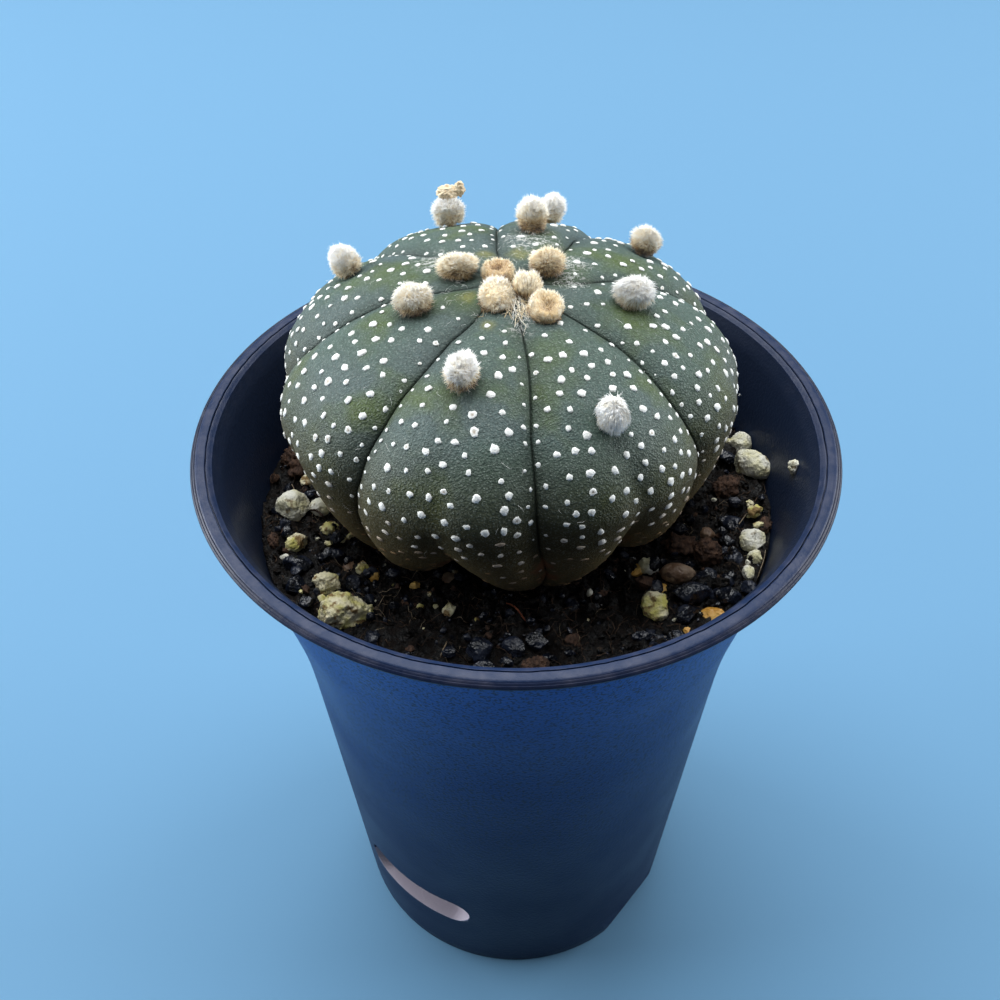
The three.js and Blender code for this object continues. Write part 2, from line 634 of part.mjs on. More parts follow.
// One stone half sunk in the soil, or its seat when grown by the gap.
function stoneLump(stone, index, grow) {
  const rough = STONE_ROUGHNESS[stone.kind] ?? SMOOTH_STONE;
  const detail = Math.max(...stone.half) > LARGE_STONE ? 1 : 0;
  const height = SOIL.level + stone.half[2] * (stone.rise ?? STONE_RISE);
  return lump({ ...stone, centre: [...stone.at, height], rough, seed: 100 + index, grow, detail });
}

addPiece("pot", makePot(), "pot");

const plantClear = bareBody(GAP);
const hollow = potHollow();
addPiece("soil", makeSoil(hollow, STONES.map((stone, index) => stoneLump(stone, index, GAP))), "soil");
STONES.forEach((stone, index) => {
  const solid = stoneLump(stone, index, 0).intersect(hollow).subtract(plantClear);
  addPiece(stone.name, solid, stone.kind);
});

const body = fleckPlaces().map(fleck).reduce((sum, bump) => sum.add(bump), bareBody());
addPiece("cactus_body", body, "cactus");

for (const tuft of tuftPlaces) {
  addPiece(tuft.name, tuftWool(tuft.name).subtract(plantClear), tuft.tint);
}
const crownWool = CROWN_NEIGHBOURS.reduce((wool, name) => wool.subtract(tuftWool(name, GAP)), makeCrownWool());
addPiece("crown_wool", crownWool.subtract(plantClear), "tan");
addPiece("dried_bud", makeDriedBud().subtract(tuftWool(BUD.on, GAP)), "bud");

export default potted;
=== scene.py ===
"""A star cactus in a small flaring plastic pot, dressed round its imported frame.

Sizes and places are in millimetres in the part's own frame, +Z up, with the origin in the middle of the
pot's foot. They become metres where a mesh is made.
"""

from __future__ import annotations

import logging
import math
from collections.abc import Iterator
from contextlib import contextmanager
from dataclasses import dataclass, field
from enum import Enum

import bpy
import numpy as np
from mathutils import Matrix, Vector

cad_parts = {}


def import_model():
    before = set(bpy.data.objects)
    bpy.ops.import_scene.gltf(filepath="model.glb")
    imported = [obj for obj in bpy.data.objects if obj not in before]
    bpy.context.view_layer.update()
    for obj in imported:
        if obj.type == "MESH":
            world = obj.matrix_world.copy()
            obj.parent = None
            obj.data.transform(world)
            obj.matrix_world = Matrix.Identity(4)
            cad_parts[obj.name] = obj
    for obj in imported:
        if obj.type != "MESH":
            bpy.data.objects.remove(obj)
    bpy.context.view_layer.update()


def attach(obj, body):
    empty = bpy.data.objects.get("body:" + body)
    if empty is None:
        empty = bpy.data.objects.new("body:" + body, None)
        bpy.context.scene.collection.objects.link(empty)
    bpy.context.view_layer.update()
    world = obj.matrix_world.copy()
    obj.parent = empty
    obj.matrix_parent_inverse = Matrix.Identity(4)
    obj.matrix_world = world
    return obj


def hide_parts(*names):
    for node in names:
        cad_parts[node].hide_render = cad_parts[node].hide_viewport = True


LOG = logging.getLogger("star_cactus")
MM = 0.001
BODY_NAME = "root"
# How near two corners are to be merged, in millimetres.
WELD = 0.002
UP = np.array([0.0, 0.0, 1.0])
GOLDEN = math.pi * (3 - math.sqrt(5))

Rgb = tuple[float, float, float]
Triple = tuple[float, float, float]
Pair = tuple[float, float]
Pairs = tuple[Pair, ...]
Stop = tuple[float, Rgb]
Inputs = dict[str, object]
Socket = bpy.types.NodeSocket
Piece = bpy.types.Object
Array = np.ndarray
Draws = np.random.Generator


class Tint(Enum):
    """How pale the wool of a tuft is."""

    WHITE = "wool_white"
    TAN = "wool_tan"


class Kind(Enum):
    """What a loose stone or bit is made of, named as its material slot."""

    PUMICE_WHITE = "pumice_white"
    PUMICE_YELLOW = "pumice_yellow"
    PEBBLE_BLACK = "pebble_black"
    PEBBLE_BROWN = "pebble_brown"
    PEBBLE_AMBER = "pebble_amber"
    BARK = "bark"


class Strand(Enum):
    """What a fibre or a twig is made of."""

    PEAT = "peat"
    RUST = "rust"
    STRAW = "straw"


# Mesh work


def slopes(count: int, steepness: float) -> Array:
    """Seeded directions of one length, from which the smooth noise is made."""
    drawn = np.random.default_rng(5).normal(0, 1, (count, 3))
    return drawn / np.linalg.norm(drawn, axis=1, keepdims=True) * steepness


NOISE_SLOPES = slopes(256, 1.6)


@dataclass
class Shape:
    """Corners in millimetres, and triangles as rows of three corner numbers."""

    corners: Array
    faces: Array

    def moved(self, turns: Array, places: Array) -> Shape:
        """Copies the shape once for each turn and place.

        Args:
            turns: One 3 by 3 matrix for each copy, which may also scale it.
            places: Where each copy's own origin goes.

        Returns:
            All the copies as one shape.
        """
        corners = np.einsum("nij,kj->nki", turns, self.corners) + places[:, None]
        shift = np.arange(len(places)) * len(self.corners)
        faces = self.faces[None] + shift[:, None, None]
        return Shape(corners.reshape(-1, 3), faces.reshape(-1, 3))


def joined(shapes: list[Shape]) -> Shape:
    """Puts several shapes together as one.

    Args:
        shapes: The shapes.

    Returns:
        One shape with all their corners and triangles.
    """
    shifts = np.cumsum([0] + [len(shape.corners) for shape in shapes[:-1]])
    faces = [shape.faces + shift for shape, shift in zip(shapes, shifts)]
    return Shape(np.vstack([shape.corners for shape in shapes]), np.vstack(faces))


def deselect_all() -> None:
    """Leaves nothing selected and no object active."""
    bpy.ops.object.select_all(action="DESELECT")
    bpy.context.view_layer.objects.active = None


def make_active(piece: Piece) -> None:
    """Selects one object alone and makes it the active one.

    Args:
        piece: The object.
    """
    deselect_all()
    piece.select_set(True)
    bpy.context.view_layer.objects.active = piece


def corners_of(piece: Piece) -> Array:
    """Reads a mesh's corners in millimetres.

    Args:
        piece: The mesh's object.

    Returns:
        A row of x, y and z for each corner.
    """
    flat = np.empty(len(piece.data.vertices) * 3)
    piece.data.vertices.foreach_get("co", flat)
    return flat.reshape(-1, 3) / MM


def set_corners(piece: Piece, corners: Array) -> None:
    """Writes a mesh's corners, given in millimetres."""
    piece.data.vertices.foreach_set("co", (corners * MM).ravel())
    piece.data.update()


def piece_from(name: str, shape: Shape) -> Piece:
    """Makes an object of a shape, smooth shaded.

    Args:
        name: The object's name.
        shape: Its corners and triangles.

    Returns:
        The new object.
    """
    mesh = bpy.data.meshes.new(name)
    mesh.from_pydata((shape.corners * MM).tolist(), [], shape.faces.tolist())
    piece = bpy.data.objects.new(name, mesh)
    bpy.context.scene.collection.objects.link(piece)
    smooth(piece)
    return piece


def smooth(piece: Piece) -> None:
    """Shades every face of a piece smooth."""
    piece.data.polygons.foreach_set("use_smooth", [True] * len(piece.data.polygons))
    piece.data.update()


@contextmanager
def all_in_edit(piece: Piece) -> Iterator[None]:
    """Opens a piece in edit mode with all of it selected, and closes it again afterwards.

    Args:
        piece: The piece.

    Yields:
        Nothing, once, while the piece is open.
    """
    make_active(piece)
    bpy.ops.object.mode_set(mode="EDIT")
    bpy.ops.mesh.select_all(action="SELECT")
    yield
    bpy.ops.object.mode_set(mode="OBJECT")


def spun(name: str, outline: list[Pair], steps: int) -> Piece:
    """Spins an outline round the Z axis into a closed form that faces outwards.

    Args:
        name: The new object's name.
        outline: Radii and heights, from the axis round to the axis.
        steps: How many steps make the full turn.

    Returns:
        The new object.
    """
    mesh = bpy.data.meshes.new(name)
    corners = [(radius * MM, 0, height * MM) for radius, height in outline]
    mesh.from_pydata(corners, [(n, n + 1) for n in range(len(corners) - 1)], [])
    piece = bpy.data.objects.new(name, mesh)
    bpy.context.scene.collection.objects.link(piece)
    with all_in_edit(piece):
        bpy.ops.mesh.spin(steps=steps, angle=2 * math.pi, center=(0, 0, 0), axis=(0, 0, 1))
        bpy.ops.mesh.select_all(action="SELECT")
        bpy.ops.mesh.remove_doubles(threshold=WELD * MM)
        bpy.ops.mesh.normals_make_consistent(inside=False)
    return piece


def taken(piece: Piece) -> Shape:
    """Reads an object as a shape of triangles, and removes the object.

    Args:
        piece: The object, which is gone afterwards.

    Returns:
        Its shape.
    """
    with all_in_edit(piece):
        bpy.ops.mesh.quads_convert_to_tris()
    corners = corners_of(piece)
    flat = np.empty(len(piece.data.polygons) * 3, int)
    piece.data.polygons.foreach_get("vertices", flat)
    mesh = piece.data
    bpy.data.objects.remove(piece)
    bpy.data.meshes.remove(mesh)
    return Shape(corners, flat.reshape(-1, 3))


def add_values(piece: Piece, name: str, values: Array) -> None:
    """Gives each corner of a piece a number that its material reads by name."""
    attribute = piece.data.attributes.new(name, "FLOAT", "POINT")
    attribute.data.foreach_set("value", np.ascontiguousarray(values, dtype=np.float32))


def apply_modifiers(piece: Piece) -> None:
    """Applies every modifier of a piece in turn.

    Args:
        piece: The piece.
    """
    make_active(piece)
    for modifier in list(piece.modifiers):
        bpy.ops.object.modifier_apply(modifier=modifier.name)


def ball(detail: int) -> Shape:
    """An even ball with a radius of one.

    Args:
        detail: The number of subdivisions, where 1 is a plain icosahedron.

    Returns:
        The ball's shape.
    """
    deselect_all()
    bpy.ops.mesh.primitive_ico_sphere_add(subdivisions=detail, radius=MM)
    return taken(bpy.context.object)


def settle(piece: Piece, finish: bpy.types.Material, nodes: tuple[str, ...] = ()) -> None:
    """Dresses a finished piece and ties it to the frame.

    Args:
        piece: The piece, with its place in its mesh.
        finish: Its material.
        nodes: The frame's nodes that it stands for.
    """
    piece.data.materials.clear()
    piece.data.materials.append(finish)
    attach(piece, BODY_NAME)
    if nodes:
        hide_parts(*nodes)
    LOG.info("%s: %d faces", piece.name, len(piece.data.polygons))


def unit(vectors: Array) -> Array:
    """Brings each row to a length of one."""
    return vectors / np.maximum(np.linalg.norm(vectors, axis=-1, keepdims=True), 1e-9)


def circling(angles: Array) -> Array:
    """The point at each angle on a circle with a radius of one, by x and y."""
    return np.stack([np.cos(angles), np.sin(angles)], axis=-1)


def angles_of(points: Array) -> Array:
    """Each point's angle round the Z axis, in radians."""
    return np.arctan2(points[:, 1], points[:, 0])


def reach_of(points: Array, centre: Pair = (0.0, 0.0)) -> Array:
    """How far each point is from an upright axis through the centre."""
    return np.hypot(points[:, 0] - centre[0], points[:, 1] - centre[1])


def turned_from(points: Array, azimuth: float) -> Array:
    """How many degrees each point is turned from an azimuth, to either side."""
    return np.abs(np.mod(np.degrees(angles_of(points)) - azimuth + 180, 360) - 180)


def about_z(degrees: float) -> Array:
    """The matrix that turns rows of points about the Z axis."""
    return np.array(Matrix.Rotation(math.radians(degrees), 3, "Z")).T


def climb(values: Array, low: float, high: float) -> Array:
    """How far each value has come from low to high, from 0 to 1."""
    return np.clip((values - low) / (high - low), 0, 1)


def upright(normals: Array, spins: Array) -> Array:
    """Turns that bring +Z to each normal.

    Args:
        normals: One direction for each turn.
        spins: How far each is first spun about its own axis, in radians.

    Returns:
        One 3 by 3 matrix for each direction.
    """
    helper = np.where(np.abs(normals[:, 2:]) < 0.9, UP, np.array([1.0, 0.0, 0.0]))
    side = unit(np.cross(helper, normals))
    other = np.cross(normals, side)
    cos, sin = np.cos(spins)[:, None], np.sin(spins)[:, None]
    return np.stack([side * cos + other * sin, other * cos - side * sin, normals], axis=2)


def field_noise(points: Array, size: float, seed: float = 0.0) -> Array:
    """Smooth noise from about -1 to 1.

    Args:
        points: Where it is read.
        size: About how wide its lumps are.
        seed: Which of its many patterns it is.

    Returns:
        One number for each point.
    """
    spot = points / size + seed * np.array([7.3, 3.1, 5.7])
    cell = np.floor(spot).astype(np.int64)
    inside = spot - cell
    ease = inside**3 * (inside * (inside * 6 - 15) + 10)
    total = np.zeros(len(points))
    for corner in np.ndindex(2, 2, 2):
        home = cell + np.array(corner)
        mixed = home[:, 0] * 73856093 ^ home[:, 1] * 19349663 ^ home[:, 2] * 83492791
        mixed = (mixed ^ (mixed >> 13)) * 1274126177
        slope = NOISE_SLOPES[(mixed ^ (mixed >> 16)) & 255]
        weight = np.prod(np.where(corner, ease, 1 - ease), axis=1)
        total += weight * np.einsum("ij,ij->i", slope, inside - np.array(corner))
    return total


def swirl(points: Array, size: float, seed: int) -> Array:
    """Smooth noise as a direction at each point."""
    return np.stack([field_noise(points, size, seed + axis) for axis in range(3)], axis=1)


def strands(paths: Array, radii: Array) -> Shape:
    """Fine three-sided hairs, closed at the root and pointed at the tip.

    Args:
        paths: The points of each hair, as an array of hairs by points by three.
        radii: The radius at each point but the last, as hairs by points less one.

    Returns:
        All the hairs as one shape.
    """
    count, length, _ = paths.shape
    along = unit(paths[:, -1] - paths[:, 0])
    frames = upright(along, np.arange(count) * GOLDEN)
    ring = circling(np.arange(3) * (2 * math.pi / 3))
    offsets = np.einsum("nij,kj->nki", frames[:, :, :2], ring)
    body = paths[:, :-1, None] + offsets[:, None] * radii[:, :, None, None]
    corners = np.concatenate([body.reshape(count, -1, 3), paths[:, -1:]], axis=1)
    faces = [(0, 2, 1)]
    for step in range(length - 2):
        for side in range(3):
            low, next_low = 3 * step + side, 3 * step + (side + 1) % 3
            faces += [(low, next_low, next_low + 3), (low, next_low + 3, low + 3)]
    last = 3 * (length - 2)
    faces += [(last + side, last + (side + 1) % 3, last + 3) for side in range(3)]
    shift = np.arange(count) * (3 * (length - 1) + 1)
    all_faces = np.array(faces)[None] + shift[:, None, None]
    return Shape(corners.reshape(-1, 3), all_faces.reshape(-1, 3))


def spread_along(values: Array) -> Array:
    """Repeats each hair's own numbers for all its corners, from root to tip."""
    return np.concatenate([np.repeat(values[:, :-1], 3, axis=1), values[:, -1:]], axis=1).reshape(-1)


# Shader work


class Sheet:
    """A node tree with short ways to add and link its nodes."""

    def __init__(self, tree: bpy.types.NodeTree) -> None:
        """Takes the tree that the nodes go in."""
        self.tree = tree

    def feed(self, socket: Socket, value: object) -> None:
        """Links a socket to another, or sets its plain value.

        Args:
            socket: The input that is fed.
            value: Another socket, a number or a colour.
        """
        if isinstance(value, Socket):
            self.tree.links.new(value, socket)
        else:
            socket.default_value = value

    def add(self, kind: str, inputs: Inputs | None = None, **settings: object) -> bpy.types.Node:
        """Adds a node.

        Args:
            kind: The node's type, without its ShaderNode prefix.
            inputs: What goes in each named input.
            **settings: The node's own properties.

        Returns:
            The new node.
        """
        node = self.tree.nodes.new("ShaderNode" + kind)
        for name, value in settings.items():
            setattr(node, name, value)
        for name, value in (inputs or {}).items():
            self.feed(node.inputs[name], value)
        return node

    def effect(self, group: bpy.types.NodeTree, **inputs: float) -> dict[str, Socket]:
        """Places one of the shared effects with its own values, and gives its outputs by name."""
        return dict(self.add("Group", inputs, node_tree=group).outputs.items())

    def place(self, scale: Triple = (1, 1, 1)) -> Socket:
        """The point on the object, stretched along its axes."""
        coordinates = self.add("TexCoord").outputs["Object"]
        return self.add("Mapping", {"Vector": coordinates, "Scale": scale}).outputs[0]

    def blend(self, share: object, first: object, second: object) -> Socket:
        """Mixes two colours.

        Args:
            share: How much of the second there is, from 0 to 1.
            first: The first, as a plain colour or a socket.
            second: The second, likewise.

        Returns:
            The mixed colour.
        """
        node = self.add("Mix", data_type="RGBA")
        for index, value in ((0, share), (6, first), (7, second)):
            self.feed(node.inputs[index], opaque(value) if index else value)
        return node.outputs[2]

    def tint(self, tone: object, colour: Rgb, mask: Socket, most: float) -> Socket:
        """Lays a colour over a tone by a mask, at most by the given share."""
        return self.blend(self.maths("MULTIPLY", mask, most), tone, colour)

    def ramp(self, value: Socket, stops: tuple[Stop, ...]) -> Socket:
        """Colours a number by stops.

        Args:
            value: The number, from 0 to 1.
            stops: Each stop's place and colour, in order.

        Returns:
            The colour.
        """
        node = self.add("ValToRGB", {"Fac": value})
        elements = node.color_ramp.elements
        while len(elements) < len(stops):
            elements.new(0.5)
        for element, (position, colour) in zip(elements, stops):
            element.position = position
            element.color = opaque(colour)
        return node.outputs["Color"]

    def span(self, value: object, low: object, high: object, start: float = 0, end: float = 1) -> Socket:
        """Maps a number from low and high to start and end, held within them."""
        ends = {"From Min": low, "From Max": high, "To Min": start, "To Max": end}
        return self.add("MapRange", {"Value": value, **ends}).outputs[0]

    def maths(self, operation: str, first: object, second: object) -> Socket:
        """One sum of two numbers.

        Args:
            operation: The sum's name, as Blender has it.
            first: A socket or a number.
            second: A socket or a number.

        Returns:
            The result's socket.
        """
        node = self.add("Math", operation=operation)
        self.feed(node.inputs[0], first)
        self.feed(node.inputs[1], second)
        return node.outputs[0]

    def value(self, name: str) -> Socket:
        """The number that each corner holds under a name."""
        return self.add("Attribute", attribute_name=name).outputs["Fac"]

    def height(self, vector: Socket) -> Socket:
        """The part of a vector along Z."""
        return self.add("SeparateXYZ", {"Vector": vector}).outputs["Z"]

    def bump(self, height: Socket, depth: float, strength: float) -> Socket:
        """A relief of the given depth in millimetres, as a normal."""
        return self.add("Bump", {"Height": height, "Distance": depth * MM, "Strength": strength}).outputs[0]


def opaque(colour: object) -> object:
    """Gives a plain colour its fourth number and leaves a socket alone."""
    return (*colour, 1.0) if isinstance(colour, tuple) and len(colour) == 3 else colour


class Effects:
    """The effects that more than one material uses, each a node group built once."""

    def __init__(self) -> None:
        """Builds the groups."""
        self.mottle = self._mottle()
        self.grain = self._grain()
        self.dust = self._dust()

    def spots(self, sheet: Sheet, scale: float, detail: float, low: float, high: float) -> Socket:
        """Soft patches on a material's sheet, as a mask."""
        return sheet.effect(self.mottle, Scale=scale, Detail=detail, Low=low, High=high)["Mask"]

    @staticmethod
    def _start(
        name: str, inputs: Inputs, outputs: tuple[str, ...]
    ) -> tuple[Sheet, dict[str, Socket], dict[str, Socket]]:
        """Opens a group.

        Args:
            name: The group's name.
            inputs: Its inputs, with their plain values.
            outputs: Its outputs.

        Returns:
            The group's sheet, its inputs by name and its output sockets by name.
        """
        tree = bpy.data.node_groups.new(name, "ShaderNodeTree")
        for label, value in inputs.items():
            socket = tree.interface.new_socket(name=label, in_out="INPUT", socket_type="NodeSocketFloat")
            socket.default_value = value
        for label in outputs:
            tree.interface.new_socket(name=label, in_out="OUTPUT", socket_type="NodeSocketFloat")
        entry = tree.nodes.new("NodeGroupInput")
        leave = tree.nodes.new("NodeGroupOutput")
        return Sheet(tree), dict(entry.outputs.items()), dict(leave.inputs.items())

    def _mottle(self) -> bpy.types.NodeTree:
        """Soft patches: a mask from 0 to 1 with a chosen size and edge.

        Returns:
            The group's node tree.
        """
        inputs = {"Scale": 200, "Detail": 3, "Low": 0.4, "High": 0.6}
        sheet, entry, leave = self._start("Mottle", inputs, ("Mask",))
        settings = {"Vector": sheet.place(), "Scale": entry["Scale"], "Detail": entry["Detail"]}
        cloud = sheet.add("TexNoise", settings)
        sheet.feed(leave["Mask"], sheet.span(cloud.outputs["Fac"], entry["Low"], entry["High"]))
        return sheet.tree

    def _grain(self) -> bpy.types.NodeTree:
        """Small rounded cells, as a height and as a mask of their middles.

        Returns:
            The group's node tree.
        """
        sheet, entry, leave = self._start("Grain", {"Scale": 2000, "Roughen": 0.3}, ("Height", "Mask"))
        place = sheet.place()
        finer = sheet.maths("MULTIPLY", entry["Scale"], 1.7)
        cells = sheet.add("TexVoronoi", {"Vector": place, "Scale": entry["Scale"]}, feature="SMOOTH_F1")
        fine = sheet.add("TexNoise", {"Vector": place, "Scale": finer})
        rough = sheet.maths("MULTIPLY", fine.outputs["Fac"], entry["Roughen"])
        dome = sheet.maths("SUBTRACT", 1.0, cells.outputs["Distance"])
        sheet.feed(leave["Height"], sheet.maths("ADD", dome, rough))
        sheet.feed(leave["Mask"], sheet.span(cells.outputs["Distance"], 0.45, 0.1))
        return sheet.tree

    def _dust(self) -> bpy.types.NodeTree:
        """Dust that lies thicker on faces that look up.

        Returns:
            The group's node tree.
        """
        inputs = {"Scale": 300, "Amount": 0.5, "Upward": 0.3}
        sheet, entry, leave = self._start("Dust", inputs, ("Mask",))
        cloud = sheet.add("TexNoise", {"Vector": sheet.place(), "Scale": entry["Scale"], "Detail": 6})
        rise = sheet.height(sheet.add("NewGeometry").outputs["Normal"])
        facing = sheet.span(rise, entry["Upward"], 1.0)
        both = sheet.maths("MULTIPLY", facing, sheet.span(cloud.outputs["Fac"], 0.42, 0.68))
        sheet.feed(leave["Mask"], sheet.maths("MULTIPLY", both, entry["Amount"]))
        return sheet.tree


class Finish:
    """What every finish shares: a new material whose nodes feed a Principled BSDF."""

    name: str

    def build(self, effects: Effects) -> bpy.types.Material:
        """Builds the material.

        Args:
            effects: The shared effects.

        Returns:
            The finished material.
        """
        material = bpy.data.materials.new(self.name)
        material.use_nodes = True
        sheet = Sheet(material.node_tree)
        shader = material.node_tree.nodes["Principled BSDF"]
        for name, value in self.paint(sheet, effects).items():
            sheet.feed(shader.inputs[name], value)
        return material

    def paint(self, sheet: Sheet, effects: Effects) -> Inputs:
        """Lays the finish's nodes.

        Args:
            sheet: The material's node tree.
            effects: The shared effects.

        Returns:
            What goes in each of the shader's inputs.
        """
        raise NotImplementedError


@dataclass(frozen=True)
class SkinFinish(Finish):
    """The plant's matt skin: grey-green with bluish and olive patches and fine pale specks."""

    name: str = "cactus_skin"
    green: Rgb = (0.046, 0.088, 0.051)
    blue: Rgb = (0.072, 0.104, 0.106)
    olive: Rgb = (0.066, 0.1, 0.024)
    # Near black, for the pores and for the painted shade in the grooves.
    dark: Rgb = (0.006, 0.01, 0.007)
    speck: Rgb = (0.3, 0.35, 0.31)
    scar: Rgb = (0.2, 0.09, 0.04)
    # Partly painted shade: the dark brown of the underside, where the skin faces down.
    under: Rgb = (0.06, 0.048, 0.018)
    corky: Rgb = (0.22, 0.16, 0.065)
    young: Rgb = (0.22, 0.21, 0.05)
    scurf: Rgb = (0.42, 0.43, 0.41)

    def paint(self, sheet: Sheet, effects: Effects) -> Inputs:
        """Lays the finish's nodes.

        Args:
            sheet: The material's node tree.
            effects: The shared effects.

        Returns:
            What goes in each of the shader's inputs.
        """
        grain = sheet.effect(effects.grain, Scale=4000, Roughen=0.9)
        patches = effects.spots(sheet, 75, 4, 0.42, 0.6)
        stains = effects.spots(sheet, 110, 3, 0.5, 0.68)
        fine = effects.spots(sheet, 4300, 2, 0.4, 0.6)
        pores = effects.spots(sheet, 2700, 2, 0.36, 0.62)
        matted = effects.spots(sheet, 1900, 6, 0.5, 0.62)
        # Painted reflection: the skin turns bluer towards the top, standing in for the sky's sheen; the
        # bluish patches are its own.
        sky_sheen_top = sheet.span(sheet.height(sheet.place()), 0.114, 0.128, 0, 0.55)
        patch_and_sheen = sheet.maths("ADD", sheet.maths("MULTIPLY", patches, 0.34), sky_sheen_top)
        tone = sheet.blend(patch_and_sheen, self.green, self.blue)
        tone = sheet.tint(tone, self.olive, stains, 0.9)
        tone = sheet.tint(tone, self.young, sheet.value("young"), 0.6)
        # Own colour and painted shade: the underside darkens to brown, partly browning and partly shade
        # where it faces down.
        tone = sheet.tint(tone, self.under, sheet.value("belly"), 0.92)
        tone = sheet.tint(tone, self.corky, sheet.value("base"), 0.8)
        tone = sheet.blend(sheet.span(pores, 0, 1, 0.34, 0), tone, self.dark)
        tone = sheet.tint(tone, self.speck, sheet.maths("MULTIPLY", grain["Mask"], fine), 0.45)
        tone = sheet.blend(sheet.maths("MULTIPLY", sheet.value("scurf"), matted), tone, self.scurf)
        # Painted shade: the grooves are darkened towards near black.
        tone = sheet.blend(sheet.value("groove_shade"), tone, self.dark)
        return {
            "Base Color": sheet.blend(sheet.value("scar"), tone, self.scar),
            "Roughness": sheet.span(patches, 0, 1, 0.62, 0.52),
            "Specular IOR Level": 0.28,
            "Normal": sheet.bump(grain["Height"], 0.15, 0.9),
        }


@dataclass(frozen=True)
class WoolFinish(Finish):
    """Short dense wool, coloured from its root to its tip by the number that each hair holds."""

    name: str = "wool"
    stops: tuple[Stop, ...] = (
        (0.0, (0.11, 0.045, 0.015)),
        (0.2, (0.4, 0.22, 0.07)),
        (0.42, (0.84, 0.65, 0.35)),
        (0.64, (0.95, 0.86, 0.66)),
        (1.0, (0.98, 0.98, 0.97)),
    )

    def paint(self, sheet: Sheet, effects: Effects) -> Inputs:
        """Lays the finish's nodes.

        Args:
            sheet: The material's node tree.
            effects: The shared effects.

        Returns:
            What goes in each of the shader's inputs.
        """
        patches = effects.spots(sheet, 900, 2, 0.35, 0.65)
        shift = sheet.span(patches, 0, 1, -0.06, 0.06)
        return {
            "Base Color": sheet.ramp(sheet.maths("ADD", sheet.value("pale"), shift), self.stops),
            "Roughness": 0.9,
            "Specular IOR Level": 0.15,
            "Sheen Weight": 0.6,
            "Sheen Roughness": 0.6,
        }


@dataclass(frozen=True)
class PlainWoolFinish(Finish):
    """The white wool of the flecks and of the loose hairs on the skin."""

    name: str = "fleck_wool"
    pale: Rgb = (0.76, 0.77, 0.75)
    dull: Rgb = (0.6, 0.61, 0.57)
    # Wear and painted shade: the dark brown that low flecks turn to.
    worn_and_shaded: Rgb = (0.26, 0.17, 0.09)

    def paint(self, sheet: Sheet, effects: Effects) -> Inputs:
        """Lays the finish's nodes.

        Args:
            sheet: The material's node tree.
            effects: The shared effects.

        Returns:
            What goes in each of the shader's inputs.
        """
        grain = sheet.effect(effects.grain, Scale=4200, Roughen=0.8)
        patches = effects.spots(sheet, 700, 3, 0.5, 0.75)
        tone = sheet.blend(patches, self.pale, self.dull)
        return {
            "Base Color": sheet.blend(sheet.value("worn_and_shaded"), tone, self.worn_and_shaded),
            "Roughness": 0.9,
            "Specular IOR Level": 0.2,
            "Normal": sheet.bump(grain["Height"], 0.1, 0.6),
        }


@dataclass(frozen=True)
class PlasticFinish(Finish):
    """Satin dark blue plastic, finely speckled; painted shade darkens its foot, inner wall and rim edge."""

    name: str = "pot_plastic"
    high: Rgb = (0.008, 0.072, 0.3)
    low: Rgb = (0.001, 0.003, 0.026)
    rim: Rgb = (0.008, 0.019, 0.056)
    # Painted shade: the near-black tone of the rim's outer lower edge, under its overhang.
    edge: Rgb = (0.004, 0.009, 0.03)
    # Painted shade: the inner wall's darker copy of the plastic, for the shade inside the pot.
    inside: Rgb = (0.01, 0.018, 0.042)
    speckle: Rgb = (0.001, 0.006, 0.028)
    dust: Rgb = (0.2, 0.19, 0.22)
    ledge: Rgb = (0.32, 0.29, 0.35)

    def paint(self, sheet: Sheet, effects: Effects) -> Inputs:
        """Lays the finish's nodes.

        Args:
            sheet: The material's node tree.
            effects: The shared effects.

        Returns:
            What goes in each of the shader's inputs.
        """
        speckle = effects.spots(sheet, 2300, 3, 0.5, 0.62)
        clouds = effects.spots(sheet, 60, 5, 0.3, 0.7)
        dust = sheet.effect(effects.dust, Scale=420, Amount=0.13, Upward=0.35)["Mask"]
        grain = sheet.effect(effects.grain, Scale=2300, Roughen=0.9)
        # Painted shade: the wall's colour runs from the bright high tone at the top to the near-black low
        # tone at the foot.
        rise = sheet.maths("POWER", sheet.span(sheet.height(sheet.place()), 0.0, 0.108), 2.6)
        tone = sheet.tint(sheet.blend(rise, self.low, self.high), self.speckle, speckle, 0.85)
        # Painted shade: the inner wall and the rim's lower edge take their darker tones here.
        for name, colour in (("rim", self.rim), ("edge", self.edge), ("inner", self.inside)):
            tone = sheet.blend(sheet.value(name), tone, colour)
        tone = sheet.blend(dust, tone, self.dust)
        return {
            "Base Color": sheet.blend(sheet.span(sheet.value("ledge"), 0.7, 0.97), tone, self.ledge),
            "Roughness": sheet.span(clouds, 0, 1, 0.36, 0.48),
            "Specular IOR Level": 0.2,
            "Normal": sheet.bump(grain["Height"], 0.07, 0.5),
        }


